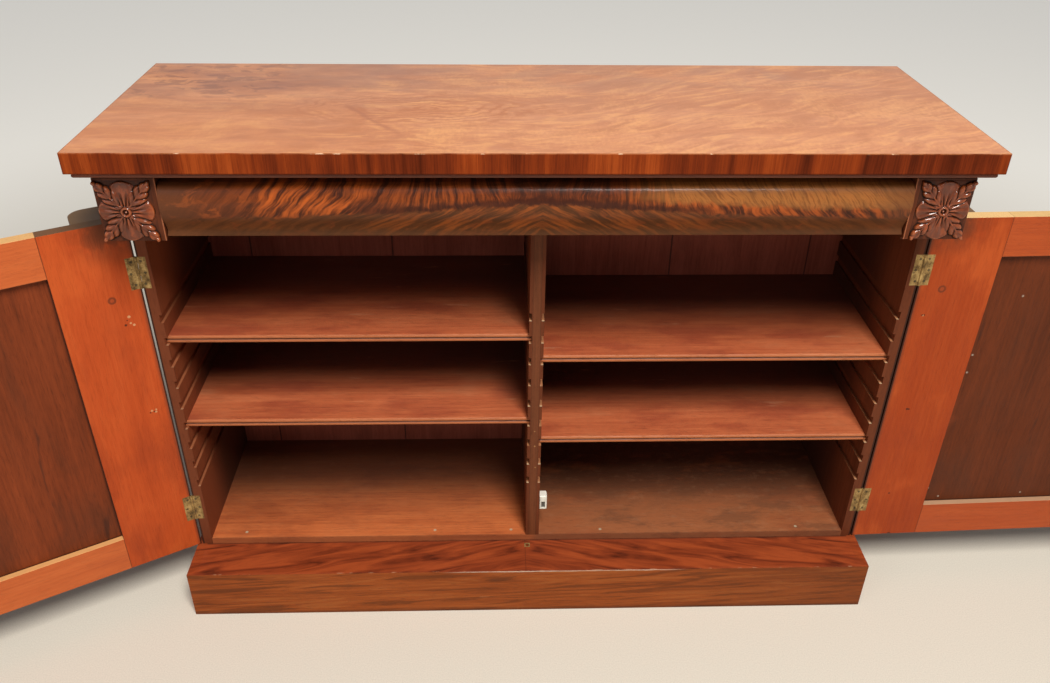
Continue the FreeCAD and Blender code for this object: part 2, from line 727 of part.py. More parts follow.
def door_panel():
    u0 = HINGE_STILE_REACH - PANEL_TONGUE
    u1 = MEETING_STILE_START + PANEL_TONGUE
    z0 = DOOR_BOTTOM + BOTTOM_RAIL_HEIGHT - PANEL_TONGUE
    z1 = DOOR_TOP - TOP_RAIL_HEIGHT + PANEL_TONGUE
    return leaf_box(u0, u1, PANEL_BACK_RECESS, PANEL_FRONT, z0, z1)


def door_hinge_stile(side):
    stile = leaf_box(DOOR_EDGE, HINGE_STILE_REACH, 0, DOOR_THICK, DOOR_BOTTOM, DOOR_TOP)
    stile = eased(stile, lambda p: near(p.y, DOOR_BACK_PLANE), 0.6)
    stile = stile.cut(door_panel())
    for z in HINGE_HEIGHTS:
        stile = stile.cut(door_leaf_plate(z)).cut(barrel_notch(z))
        for screw in leaf_screws(z, -1):
            stile = stile.cut(mirrored(screw))
    return hung(stile, side)


def door_meeting_stile(side):
    stile = leaf_box(MEETING_STILE_START, DOOR_REACH, 0, DOOR_THICK, DOOR_BOTTOM, DOOR_TOP)
    stile = eased(stile, lambda p: near(p.y, DOOR_BACK_PLANE), 0.6)
    stile = stile.cut(door_panel())
    if side == "left":
        for fitting in (strike_plate_blank(), strike_mortise(), bolt_plate_blank(), bolt_channel()):
            stile = stile.cut(fitting)
    else:
        stile = stile.cut(lock_blank()).cut(keyhole(0, DOOR_THICK + 1))
    return hung(stile, side)


def door_rails(side):
    """The top and the bottom rail between the stiles."""
    rails = []
    for z0, z1 in ((DOOR_BOTTOM, DOOR_BOTTOM + BOTTOM_RAIL_HEIGHT), (DOOR_TOP - TOP_RAIL_HEIGHT, DOOR_TOP)):
        rail = leaf_box(HINGE_STILE_REACH, MEETING_STILE_START, 0, DOOR_THICK, z0, z1)
        rail = eased(rail, lambda p: near(p.y, DOOR_BACK_PLANE), 0.6)
        rails.append(hung(rail.cut(door_panel()), side))
    return group(rails)


def door_bead(side):
    """The moulding round the front of the panel, in four mitred lengths."""
    u0 = HINGE_STILE_REACH
    u1 = MEETING_STILE_START
    z0 = DOOR_BOTTOM + BOTTOM_RAIL_HEIGHT
    z1 = DOOR_TOP - TOP_RAIL_HEIGHT
    x0 = -AXIS_X + u0
    x1 = -AXIS_X + u1
    foot = DOOR_BACK_PLANE - PANEL_FRONT
    nose = DOOR_BACK_PLANE - DOOR_THICK - BEAD_PROUD
    b = BEAD_WIDTH
    mid_x = (x0 + x1) / 2
    mid_z = (z0 + z1) / 2

    def length(points):
        strip = prism([Vector(x, foot, z) for x, z in points], Vector(0, nose - foot, 0))
        inner = edges_where(strip, lambda p: near(p.y, nose) and is_inner(p))
        return strip.makeFillet(BEAD_ROUND, inner)

    def is_inner(p):
        inside_x = abs(p.x - mid_x) < (x1 - x0) / 2 - b + 0.1
        inside_z = abs(p.z - mid_z) < (z1 - z0) / 2 - b + 0.1
        return inside_x and inside_z

    lengths = [
        length([(x0, z0), (x1, z0), (x1 - b, z0 + b), (x0 + b, z0 + b)]),
        length([(x1, z0), (x1, z1), (x1 - b, z1 - b), (x1 - b, z0 + b)]),
        length([(x1, z1), (x0, z1), (x0 + b, z1 - b), (x1 - b, z1 - b)]),
        length([(x0, z1), (x0, z0), (x0 + b, z0 + b), (x0 + b, z1 - b)]),
    ]
    return group([hung(strip, side) for strip in lengths])


def door_console(side):
    """The scrolled truss on the door's front: base, S-curved shaft, volute and a round-cornered cap."""
    x0 = -AXIS_X + CONSOLE_INNER
    x1 = x0 + CONSOLE_WIDTH
    face = DOOR_BACK_PLANE - DOOR_THICK
    front = face - CONSOLE_PROUD
    base_front = face - CONSOLE_BASE_DEPTH
    base_top = CONSOLE_BOTTOM + CONSOLE_BASE_HEIGHT
    cap_bottom = CONSOLE_TOP - CONSOLE_CAP_HEIGHT
    base = box(x0, x1, base_front, face, CONSOLE_BOTTOM, base_top)
    base = eased(base, lambda p: near(p.y, base_front), CONSOLE_BASE_ROUND)
    cap = box(x0, x1, front, face, cap_bottom, CONSOLE_TOP)
    cap = cap.makeFillet(CONSOLE_CAP_CORNER, [e for e in cap.Edges if is_upright_at(e, front)])
    volute_z = cap_bottom - VOLUTE_RADIUS
    start = Vector(x0 + CONSOLE_SHAFT_INSET, face, base_top)
    waist = CONSOLE_SHAFT_WAIST
    lower = [
        start + Vector(0, -CONSOLE_SHAFT_FOOT, 0),
        start + Vector(0, -waist - 2.0, CONSOLE_WAIST_RISE / 2),
        start + Vector(0, -waist, CONSOLE_WAIST_RISE),
    ]
    upper = [
        Vector(start.x, front + 1.5 * VOLUTE_RADIUS, volute_z - 2.7 * VOLUTE_RADIUS),
        Vector(start.x, front + 0.46 * VOLUTE_RADIUS, volute_z - VOLUTE_RADIUS),
    ]
    crown = Vector(start.x, front + 2.5, volute_z)
    shaft_curve = Part.BSplineCurve()
    shaft_curve.interpolate(lower + upper + [crown])
    brow = Vector(start.x, front + 8.0, cap_bottom)
    edges = [
        shaft_curve.toShape(),
        Part.LineSegment(crown, brow).toShape(),
        Part.LineSegment(brow, Vector(start.x, face, cap_bottom)).toShape(),
        Part.LineSegment(Vector(start.x, face, cap_bottom), start).toShape(),
        Part.LineSegment(start, lower[0]).toShape(),
    ]
    shaft_width = CONSOLE_WIDTH - 2 * CONSOLE_SHAFT_INSET
    shaft = Part.Face(Part.Wire(edges)).extrude(Vector(shaft_width, 0, 0))
    return hung(base.fuse(shaft).fuse(cap).removeSplitter(), side)


def is_upright_at(edge, y):
    ends = [v.Point for v in edge.Vertexes]
    return near(ends[0].y, y) and near(ends[1].y, y) and near(ends[0].x, ends[1].x)


# Hinges -----------------------------------------------------------------------

def carcass_leaf_plate(z):
    """The plate of a hinge leaf in the right-hand side's front edge."""
    x0 = SIDE_OUTER - HINGE_LEAF_WIDTH
    y1 = CARCASS_FRONT + HINGE_LEAF_THICK
    return box(x0, SIDE_OUTER, CARCASS_FRONT, y1, z - HINGE_LENGTH / 2, z + HINGE_LENGTH / 2)


def door_leaf_plate(z):
    """The plate of a hinge leaf in the shut left door's back face."""
    half = HINGE_LENGTH / 2
    return leaf_box(HINGE_OFFSET, HINGE_OFFSET + HINGE_LEAF_WIDTH, 0, HINGE_LEAF_THICK, z - half, z + half)


def barrel_notch(z):
    """The room in the shut left door's edge for a hinge's barrel."""
    half = HINGE_LENGTH / 2 + HINGE_PIN_PROUD + HINGE_BARREL_PLAY
    depth = HINGE_BARREL_RADIUS + HINGE_BARREL_PLAY
    return leaf_box(0, HINGE_OFFSET, -1, depth, z - half, z + half)


def knuckles(axis_x, z, numbers, plate, bridge_y0, bridge_y1):
    """A leaf: its plate joined to the numbered knuckles round the axis."""
    pitch = HINGE_LENGTH / HINGE_KNUCKLES
    edge_x = math.copysign(SIDE_OUTER - HINGE_BRIDGE_LAP, axis_x)
    leaf = plate
    for number in numbers:
        z0 = z - HINGE_LENGTH / 2 + number * pitch + HINGE_KNUCKLE_GAP / 2
        height = pitch - HINGE_KNUCKLE_GAP
        bridge = box(min(edge_x, axis_x), max(edge_x, axis_x), bridge_y0, bridge_y1, z0, z0 + height)
        barrel = Part.makeCylinder(HINGE_BARREL_RADIUS, height, Vector(axis_x, AXIS_Y, z0))
        leaf = leaf.fuse(bridge).fuse(barrel)
    bore = Part.makeCylinder(HINGE_PIN_RADIUS + HINGE_PIN_PLAY, HINGE_LENGTH + 2,
                             Vector(axis_x, AXIS_Y, z - HINGE_LENGTH / 2 - 1))
    return leaf.cut(bore).removeSplitter()


def carcass_hinge_leaves():
    leaves = []
    for z in HINGE_HEIGHTS:
        plate = carcass_leaf_plate(z)
        leaf = knuckles(AXIS_X, z, (0, 2, 4), plate, CARCASS_FRONT, CARCASS_FRONT + HINGE_LEAF_THICK)
        for screw in leaf_screws(z, 1):
            leaf = leaf.cut(screw)
        leaves += both_sides(leaf)
    return group(leaves)


def door_hinge_leaves(side):
    leaves = []
    for z in HINGE_HEIGHTS:
        plate = door_leaf_plate(z)
        leaf = knuckles(-AXIS_X, z, (1, 3), plate, DOOR_BACK_PLANE - HINGE_LEAF_THICK, DOOR_BACK_PLANE)
        for screw in leaf_screws(z, -1):
            leaf = leaf.cut(mirrored(screw))
        leaves.append(hung(leaf, side))
    return group(leaves)


def hinge_pins():
    pins = []
    for z in HINGE_HEIGHTS:
        base = Vector(AXIS_X, AXIS_Y, z - HINGE_LENGTH / 2 - HINGE_PIN_PROUD)
        length = HINGE_LENGTH + 2 * HINGE_PIN_PROUD
        pins += both_sides(Part.makeCylinder(HINGE_PIN_RADIUS, length, base))
    return group(pins)


def screw(x, y, z, direction):
    """A countersunk wood screw with its head at the given point, before its slot is cut."""
    place = Vector(x, y, z)
    inward = Vector(0, direction, 0)
    head = Part.makeCone(SCREW_HEAD, SCREW_SHANK, SCREW_HEAD_DEPTH, place, inward)
    shank = Part.makeCylinder(SCREW_SHANK, SCREW_LENGTH, place, inward)
    return head.fuse(shank).removeSplitter()


def driver_slot(x, y, z, direction):
    y0, y1 = sorted((y, y + SCREW_SLOT * direction))
    return box(x - SCREW_HEAD, x + SCREW_HEAD, y0, y1, z - SCREW_SLOT / 2, z + SCREW_SLOT / 2)


def screw_places(z, direction):
    """Where the three screws of a right-hand leaf go: +1 into the carcass, -1 into the shut door."""
    x = SIDE_OUTER - HINGE_LEAF_WIDTH / 2
    y = CARCASS_FRONT if direction > 0 else DOOR_BACK_PLANE
    near_x = x - SCREW_STAGGER
    far_x = x + SCREW_STAGGER
    return [
        (far_x, y, z - SCREW_SPACING, direction),
        (near_x, y, z, direction),
        (far_x, y, z + SCREW_SPACING, direction),
    ]


def leaf_screws(z, direction):
    return [screw(*place) for place in screw_places(z, direction)]


def slotted_screws(z, direction):
    return [screw(*place).cut(driver_slot(*place)) for place in screw_places(z, direction)]


def carcass_screws():
    screws = []
    for z in HINGE_HEIGHTS:
        for one in slotted_screws(z, 1):
            screws += both_sides(one)
    return group(screws)


def door_screws(side):
    screws = []
    for z in HINGE_HEIGHTS:
        screws += [hung(mirrored(one), side) for one in slotted_screws(z, -1)]
    return group(screws)


# Lock, bolt and catch ---------------------------------------------------------

def lock_blank():
    """The space in the right door's edge and back for the lock."""
    z = LOCK_HEIGHT
    return leaf_box(LOCK_REACH - LOCK_LENGTH, DOOR_REACH + 1, 0, LOCK_THICK, z - LOCK_HALF, z + LOCK_HALF)


def keyhole(w0, w1):
    """The round and slot of a keyhole through the meeting stile."""
    centre = Vector(-AXIS_X + KEY_U, DOOR_BACK_PLANE - w0, LOCK_HEIGHT)
    eye = Part.makeCylinder(KEY_RADIUS + KEYHOLE_PLAY, w1 - w0, centre, Vector(0, -1, 0))
    half = 1.0 + KEYHOLE_PLAY
    slot = leaf_box(KEY_U - half, KEY_U + half, w0, w1, LOCK_HEIGHT - KEYHOLE_DROP, LOCK_HEIGHT)
    return eye.fuse(slot)


def lock_case():
    """The brass case let into the back of the right door, with a window for the bolt and the key."""
    z = LOCK_HEIGHT
    case = leaf_box(LOCK_REACH - LOCK_LENGTH, LOCK_REACH, 0, LOCK_THICK, z - LOCK_HALF, z + LOCK_HALF)
    cavity = leaf_box(LOCK_REACH - LOCK_LENGTH + LOCK_WALL, LOCK_REACH - LOCK_WALL,
                      LOCK_WALL, LOCK_THICK - LOCK_WALL, z - LOCK_HALF + LOCK_WALL, z + LOCK_HALF - LOCK_WALL)
    play = LOCK_BOLT_PLAY
    bolt_z = z + LOCK_BOLT_RISE
    window = leaf_box(LOCK_REACH - 5.0, LOCK_REACH + 1.0, LOCK_BOLT_W0 - play, LOCK_BOLT_W1 + play,
                      bolt_z - 1.5 * play, bolt_z + LOCK_BOLT_HEIGHT + 1.5 * play)
    case = case.cut(cavity).cut(window).cut(keyhole(LOCK_THICK - LOCK_WALL - 0.5, LOCK_THICK + 1))
    plate = leaf_box(KEY_U - ESCUTCHEON_HALF, KEY_U + ESCUTCHEON_HALF, DOOR_THICK,
                     DOOR_THICK + ESCUTCHEON_THICK, z - ESCUTCHEON_BELOW, z + ESCUTCHEON_ABOVE)
    plate = plate.cut(keyhole(DOOR_THICK - 1, DOOR_THICK + 2))
    return group([hung(case, "right"), hung(plate, "right")])


def lock_bolt():
    """The brass bolt, drawn back inside the case: a head, and a thin tail over the key."""
    z0 = LOCK_HEIGHT + LOCK_BOLT_RISE
    z1 = z0 + LOCK_BOLT_HEIGHT
    rear = LOCK_REACH - LOCK_BOLT_LENGTH
    bolt = leaf_box(rear, LOCK_REACH - LOCK_BOLT_PLAY, LOCK_BOLT_W0, LOCK_BOLT_W1, z0, z1)
    clear_of_key = leaf_box(rear - 1, KEY_U + KEY_BIT + 0.5, 0, LOCK_THICK, z0 - 1, z1 - LOCK_BOLT_TAIL)
    return hung(bolt.cut(clear_of_key), "right")


def key():
    """A steel key in the lock: bit, shank, collar and a ring bow."""
    forward = Vector(0, -1, 0)
    z = LOCK_HEIGHT
    start = Vector(-AXIS_X + KEY_U, DOOR_BACK_PLANE - KEY_START, z)
    shank = Part.makeCylinder(KEY_RADIUS, KEY_SHANK, start, forward)
    bit = leaf_box(KEY_U - 1.0, KEY_U + 1.0, LOCK_BOLT_W0, LOCK_BOLT_W1, z - KEY_BIT, z - 1.0)
    collar_start = start + forward * KEY_COLLAR_PLACE
    collar = Part.makeCylinder(KEY_RADIUS + 1.2, KEY_COLLAR_LENGTH, collar_start, forward)
    bow = Part.makeTorus(KEY_BOW_RADIUS, KEY_BOW_WIRE, start + forward * KEY_BOW_PLACE, Vector(1, 0, 0))
    return hung(shank.fuse(bit).fuse(collar).fuse(bow).removeSplitter(), "right")


def strike_plate_blank():
    z = LOCK_HEIGHT
    u0 = DOOR_REACH - STRIKE_THICK
    return leaf_box(u0, DOOR_REACH, STRIKE_W0, STRIKE_W1, z - STRIKE_BELOW, z + STRIKE_ABOVE)


def strike_mortise():
    """The space in the left door's edge that takes the shot lock bolt."""
    z = LOCK_HEIGHT + LOCK_BOLT_RISE
    play = STRIKE_PLAY
    return leaf_box(DOOR_REACH - MORTISE_DEPTH, DOOR_REACH + 1, LOCK_BOLT_W0 - play, LOCK_BOLT_W1 + play,
                    z - play, z + LOCK_BOLT_HEIGHT + play)


def bolt_plate_blank():
    top = DOOR_BOTTOM + BOLT_PLATE_HEIGHT
    u0 = DOOR_REACH - BOLT_PLATE_THICK
    return leaf_box(u0, DOOR_REACH, BOLT_PLATE_W0, BOLT_PLATE_W1, DOOR_BOTTOM, top)


def bolt_channel():
    """The channel in the left door's edge behind the bolt plate."""
    reach = BOLT_RADIUS + BOLT_PLAY
    return leaf_box(BOLT_U - reach, DOOR_REACH - BOLT_PLATE_THICK, BOLT_W - reach, BOLT_W + reach,
                    DOOR_BOTTOM - 1, BOLT_ROD_TOP + 4.0)


def left_door_plates():
    """The lock's strike and the flush bolt's plate, let into the left door's edge."""
    strike = strike_plate_blank().cut(strike_mortise())
    slot_top = BOLT_ROD_TOP - 4.0
    thumb_slot = leaf_box(DOOR_REACH - 2, DOOR_REACH + 1, BOLT_W - BOLT_SLOT_HALF, BOLT_W + BOLT_SLOT_HALF,
                          slot_top - BOLT_SLOT_LENGTH, slot_top)
    plate = bolt_plate_blank().cut(thumb_slot)
    return group([hung(strike, "left"), hung(plate, "left")])


def flush_bolt():
    """The left door's bottom bolt: a rod with a thumb stud in the plate's slot."""
    foot = Vector(-AXIS_X + BOLT_U, DOOR_BACK_PLANE - BOLT_W, DOOR_BOTTOM + BOLT_FOOT_CLEAR)
    rod = Part.makeCylinder(BOLT_RADIUS, BOLT_ROD_TOP - foot.z, foot)
    stud_top = BOLT_ROD_TOP - 6.0
    stud = leaf_box(BOLT_U, DOOR_REACH - 0.2, BOLT_W - STUD_HALF, BOLT_W + STUD_HALF,
                    stud_top - STUD_LENGTH, stud_top)
    return hung(rod.fuse(stud).removeSplitter(), "left")


def bolt_bore(z0):
    """The hole that takes the flush bolt, under its place when the left door is shut."""
    foot = Vector(-AXIS_X + BOLT_U, DOOR_BACK_PLANE - BOLT_W, z0)
    return Part.makeCylinder(BOLT_RADIUS + KEEPER_PLAY, PLINTH_HEIGHT + 2 - z0, foot)


def keeper_plate_blank():
    x = -AXIS_X + BOLT_U
    y = DOOR_BACK_PLANE - BOLT_W
    z1 = PLINTH_HEIGHT + KEEPER_PROUD
    w = KEEPER_HALF_WIDTH
    d = KEEPER_HALF_DEPTH
    return box(x - w, x + w, y - d, y + d, z1 - KEEPER_THICK, z1)


def bolt_keeper():
    """The brass plate in the ledge round the flush bolt's hole."""
    return keeper_plate_blank().cut(bolt_bore(PLINTH_HEIGHT - 3))


def catch_housing():
    """The white plastic catch screwed to the partition's right-hand face, with its steel jaw."""
    x0 = PARTITION_RIGHT
    x1 = x0 + CATCH_WIDTH
    y1 = CATCH_FRONT + CATCH_DEPTH
    body = box(x0, x1, CATCH_FRONT, y1, CATCH_BOTTOM, CATCH_TOP)
    body = eased(body, lambda p: p.x > x1 - 0.1 or near(p.y, CATCH_FRONT), CATCH_ROUND)
    mouth_x0 = x0 + CATCH_WALL
    mouth_x1 = x1 - CATCH_WALL
    mouth_back = CATCH_FRONT + CATCH_MOUTH_DEPTH
    mouth_z0 = CATCH_BOTTOM + CATCH_MOUTH_RISE
    mouth_z1 = mouth_z0 + CATCH_MOUTH_HEIGHT
    mouth = box(mouth_x0, mouth_x1, CATCH_FRONT - 1, mouth_back, mouth_z0, mouth_z1)
    jaw = box(mouth_x0, mouth_x1, CATCH_FRONT + CATCH_MOUTH_DEPTH / 2, mouth_back, mouth_z0, mouth_z1)
    return group([body.cut(mouth), jaw])


def catch_strike():
    """The steel plate on the right door's back that meets the catch."""
    u = AXIS_X - (PARTITION_RIGHT + CATCH_WIDTH / 2)
    z0 = CATCH_BOTTOM + CATCH_MOUTH_RISE + 2.0
    z1 = z0 + CATCH_MOUTH_HEIGHT - 4.0
    half = CATCH_STRIKE_HALF
    plate = leaf_box(u - half, u + half, -CATCH_STRIKE_THICK, 0, z0, z1)
    return hung(plate, "right")


# Writing the files ------------------------------------------------------------

SINGLE_PARTS = (
    plinth_front, plinth_ledge, plinth_frame, plinth_glue_blocks,
    side_left, side_right, floor_board, dust_board, partition_core, partition_linings,
    back_boards, top_frame, top_board, top_edge_bands, top_moulding,
    frieze_block_left, frieze_block_right, patera_left, patera_right, soffit_board, block_packings,
    drawer_front, drawer_side_left, drawer_side_right, drawer_back, drawer_muntin, drawer_bottoms,
    drawer_guides, drawer_stops,
    carcass_hinge_leaves, hinge_pins, carcass_screws,
    lock_case, lock_bolt, key, left_door_plates, flush_bolt, bolt_keeper, catch_housing, catch_strike,
)

DOOR_PARTS = {
    "hinge_stile": door_hinge_stile,
    "meeting_stile": door_meeting_stile,
    "rails": door_rails,
    "panel": lambda side: hung(door_panel(), side),
    "bead": door_bead,
    "console": door_console,
    "hinge_leaves": door_hinge_leaves,
    "screws": door_screws,
}

os.makedirs("parts", exist_ok=True)
for make in SINGLE_PARTS:
    export(make(), make.__name__)
for node in SHELF_GROOVES:
    export(shelf(node), node)
for side in ("left", "right"):
    for name, make in DOOR_PARTS.items():
        export(make(side), side + "_door_" + name)
print(len(os.listdir("parts")), "parts")
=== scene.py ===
import json
import math

import bpy
import numpy as np
from mathutils import Matrix, Vector

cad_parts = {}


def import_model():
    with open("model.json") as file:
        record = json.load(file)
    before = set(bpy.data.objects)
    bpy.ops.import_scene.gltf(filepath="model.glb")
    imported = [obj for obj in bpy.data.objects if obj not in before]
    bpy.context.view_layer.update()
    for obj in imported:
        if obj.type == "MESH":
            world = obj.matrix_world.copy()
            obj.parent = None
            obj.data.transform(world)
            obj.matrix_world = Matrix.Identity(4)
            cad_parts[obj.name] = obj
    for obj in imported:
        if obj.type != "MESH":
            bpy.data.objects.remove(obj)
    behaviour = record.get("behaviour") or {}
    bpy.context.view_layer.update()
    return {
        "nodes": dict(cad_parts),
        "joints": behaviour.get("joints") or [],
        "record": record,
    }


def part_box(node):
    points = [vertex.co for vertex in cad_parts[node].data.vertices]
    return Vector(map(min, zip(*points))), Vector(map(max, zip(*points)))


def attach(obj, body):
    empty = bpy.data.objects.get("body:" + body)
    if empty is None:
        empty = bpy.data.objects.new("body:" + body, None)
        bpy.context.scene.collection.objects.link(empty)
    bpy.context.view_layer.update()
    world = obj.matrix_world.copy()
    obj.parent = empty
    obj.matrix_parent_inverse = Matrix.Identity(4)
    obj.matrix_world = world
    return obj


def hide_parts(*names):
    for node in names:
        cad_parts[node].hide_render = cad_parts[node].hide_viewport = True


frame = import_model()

# A two-door mahogany chiffonier, standing open. Metres, in the part's own frame.

NODES = frame["nodes"]

# The photograph's view of it.
PHOTO_WIDTH = 1050
FOCAL_PIXELS = 929.1
SENSOR = 36.0
CAMERA_PLACE = (-0.0747, -1.6296, 1.5725)
CAMERA_TILT = (57.93, -0.708, -1.731)

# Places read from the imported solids.
TOP_LOW, TOP_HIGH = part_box("top_board")
CUSHION_LOW, CUSHION_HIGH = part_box("drawer_front")
FLOOR_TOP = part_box("floor_board")[1].z
PLINTH_LOW, PLINTH_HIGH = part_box("plinth_front")
CARCASS_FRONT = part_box("side_left")[0].y
SHELF_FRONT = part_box("shelf_left_upper")[0].y
CORE_LOW, CORE_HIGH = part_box("partition_core")
BLOCK_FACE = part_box("frieze_block_right")[0].y


def joint_of(name):
    return next(j for j in frame["joints"] if j["name"] == name)


# --- Node building ---

class Surface:
    """A material, its colour so far, and short calls that build its nodes."""

    def __init__(self, name):
        self.material = bpy.data.materials.new(name)
        self.material.use_nodes = True
        self.tree = self.material.node_tree
        self.shader = self.tree.nodes["Principled BSDF"]
        self.place = self.add("ShaderNodeTexCoord").outputs["Object"]
        self.colour = None

    def add(self, kind, **settings):
        node = self.tree.nodes.new(kind)
        for key, value in settings.items():
            setattr(node, key, value)
        return node

    def put(self, socket, value):
        """Links an output to a socket, or sets the socket's own number or colour."""
        if isinstance(value, bpy.types.NodeSocket):
            self.tree.links.new(value, socket)
        else:
            socket.default_value = value

    def stretched(self, vector, scale, shift=(0, 0, 0), turn=0.0):
        node = self.add("ShaderNodeMapping")
        node.inputs["Scale"].default_value = scale
        node.inputs["Location"].default_value = shift
        node.inputs["Rotation"].default_value = (0, 0, turn)
        self.put(node.inputs["Vector"], vector)
        return node.outputs["Vector"]

    def apart(self, vector):
        node = self.add("ShaderNodeSeparateXYZ")
        self.put(node.inputs[0], vector)
        return node.outputs["X"], node.outputs["Y"], node.outputs["Z"]

    def together(self, x, y, z):
        node = self.add("ShaderNodeCombineXYZ")
        for socket, value in zip(node.inputs, (x, y, z)):
            self.put(socket, value)
        return node.outputs[0]

    def noise(self, vector, detail=4.0, rough=0.55, distortion=0.0):
        node = self.add("ShaderNodeTexNoise")
        node.inputs["Scale"].default_value = 1.0
        node.inputs["Detail"].default_value = detail
        node.inputs["Roughness"].default_value = rough
        node.inputs["Distortion"].default_value = distortion
        self.put(node.inputs["Vector"], vector)
        return node.outputs["Fac"]

    def figure(self, x, y, z, **settings):
        """Noise over a place put together from three values."""
        return self.noise(self.together(x, y, z), **settings)

    def cloud(self, scale, shift=(0, 0, 0), turn=0.0, **settings):
        """Noise over the object's own place, stretched, shifted and turned about the upright."""
        return self.noise(self.stretched(self.place, scale, shift, turn), **settings)

    def maths(self, operation, a, b=0.0, clamp=False):
        node = self.add("ShaderNodeMath", operation=operation, use_clamp=clamp)
        self.put(node.inputs[0], a)
        self.put(node.inputs[1], b)
        return node.outputs[0]

    def plus(self, a, b):
        return self.maths("ADD", a, b)

    def minus(self, a, b):
        return self.maths("SUBTRACT", a, b)

    def times(self, *factors):
        total = factors[0]
        for factor in factors[1:]:
            total = self.maths("MULTIPLY", total, factor)
        return total

    def most(self, a, b):
        return self.maths("MAXIMUM", a, b)

    def absolute(self, a):
        return self.maths("ABSOLUTE", a)

    def band(self, value, low, high):
        """0 below low, 1 above high, and smooth between; low may be above high."""
        node = self.add("ShaderNodeMapRange", interpolation_type="SMOOTHSTEP")
        self.put(node.inputs["Value"], value)
        node.inputs["From Min"].default_value = low
        node.inputs["From Max"].default_value = high
        return node.outputs["Result"]

    def ramp(self, value, stops):
        """Colours along a value, as (place, colour) stops."""
        node = self.add("ShaderNodeValToRGB")
        elements = node.color_ramp.elements
        elements[0].position, elements[0].color = stops[0][0], (*stops[0][1], 1)
        elements[1].position, elements[1].color = stops[-1][0], (*stops[-1][1], 1)
        for place, colour in stops[1:-1]:
            elements.new(place).color = (*colour, 1)
        self.put(node.inputs["Fac"], value)
        return node.outputs["Color"]

    def mix(self, factor, a, b):
        node = self.add("ShaderNodeMix", data_type="RGBA")
        self.put(node.inputs["Factor"], factor)
        for socket, value in ((node.inputs["A"], a), (node.inputs["B"], b)):
            self.put(socket, value if isinstance(value, bpy.types.NodeSocket) else (*value, 1))
        return node.outputs["Result"]

    def tint(self, paint, *masks):
        """Takes the colour towards a paint, as far as the masks multiplied together say."""
        self.colour = self.mix(self.times(*masks), self.colour, paint)

    def distance(self, vector, point):
        node = self.add("ShaderNodeVectorMath", operation="DISTANCE")
        self.put(node.inputs[0], vector)
        node.inputs[1].default_value = point
        return node.outputs["Value"]

    def spots(self, places, soft=0.35, vector=None):
        """1 inside small round places, each (x, y, z, radius), and 0 outside."""
        total = 0.0
        for *point, radius in places:
            far = self.distance(vector or self.place, point)
            total = self.most(self.band(far, radius, radius * (1 - soft)), total)
        return total

    def rings(self, places, width):
        """1 on small rings, each (x, y, z, radius), and 0 elsewhere."""
        total = 0.0
        for *point, radius in places:
            off = self.absolute(self.minus(self.distance(self.place, point), radius))
            total = self.most(self.band(off, width, width * 0.3), total)
        return total

    def facing_up(self):
        """1 where the surface faces up, and 0 elsewhere."""
        normal = self.add("ShaderNodeNewGeometry").outputs["True Normal"]
        return self.band(self.apart(normal)[2], 0.55, 0.8)

    def bump(self, height, distance):
        node = self.add("ShaderNodeBump")
        node.inputs["Distance"].default_value = distance
        self.put(node.inputs["Height"], height)
        self.put(self.shader.inputs["Normal"], node.outputs["Normal"])

    def finish(self, rough, coat=0.0, coat_rough=0.2, metal=0.0, specular=0.5):
        self.put(self.shader.inputs["Base Color"], self.colour)
        self.put(self.shader.inputs["Roughness"], rough)
        self.put(self.shader.inputs["Coat Weight"], coat)
        self.shader.inputs["Coat Roughness"].default_value = coat_rough
        self.shader.inputs["Metallic"].default_value = metal
        self.shader.inputs["Specular IOR Level"].default_value = specular
        return self.material


# --- Wood ---

# For each direction of the grain, the axis along it and the two across it.
GRAIN_ORDER = {"X": (0, 1, 2), "Y": (1, 0, 2), "Z": (2, 1, 0)}


class Wood(Surface):
    """Mahogany and its like: tone, streaks and pores stretched along the grain."""

    def __init__(self, name, grain="X", place=None):
        super().__init__(name)
        if place:
            self.place = place(self)
        self.axes = self.apart(self.place)
        self.grain = self.together(*(self.axes[i] for i in GRAIN_ORDER[grain]))
        self.fine = None

    def along_grain(self, along, across, shift=0.0, warp=0.0, detail=4.0):
        vector = self.stretched(self.grain, (along, across, across), (shift, shift, shift))
        return self.noise(vector, detail=detail, distortion=warp)

    def tones(self, dark, middle, light, seed=0.0, broad=0.5, streak=0.5, spread=1.0):
        """The wood's first colour: a broad variation and finer streaks, through three tones."""
        wide = self.along_grain(1.6, 14.0, seed, 0.6)
        self.fine = self.along_grain(7.0, 170.0, seed + 3.0, 0.3)
        total = self.plus(self.times(wide, broad), self.times(self.fine, streak))
        total = self.times(self.minus(total, (broad + streak) / 2), spread)
        tone = self.maths("ADD", total, 0.5, clamp=True)
        self.colour = self.ramp(tone, [(0.28, dark), (0.5, middle), (0.72, light)])

    def pores(self, amount, depth):
        """Dark flecks of open pores, and the relief that they and the streaks give."""
        fleck = self.along_grain(45.0, 1300.0, 9.0, detail=2.0)
        mark = self.band(fleck, 0.56, 0.68)
        self.tint((0.02, 0.006, 0.004), mark, amount)
        self.bump(self.minus(self.times(self.fine, 0.5), self.times(mark, 0.5)), depth)

    def sheen(self, low, high):
        """Roughness that varies over the surface."""
        node = self.add("ShaderNodeMapRange")
        self.put(node.inputs["Value"], self.cloud((7, 7, 7), detail=5.0))
        for name, value in (("From Min", 0.3), ("From Max", 0.7), ("To Min", low), ("To Max", high)):
            node.inputs[name].default_value = value
        return node.outputs["Result"]


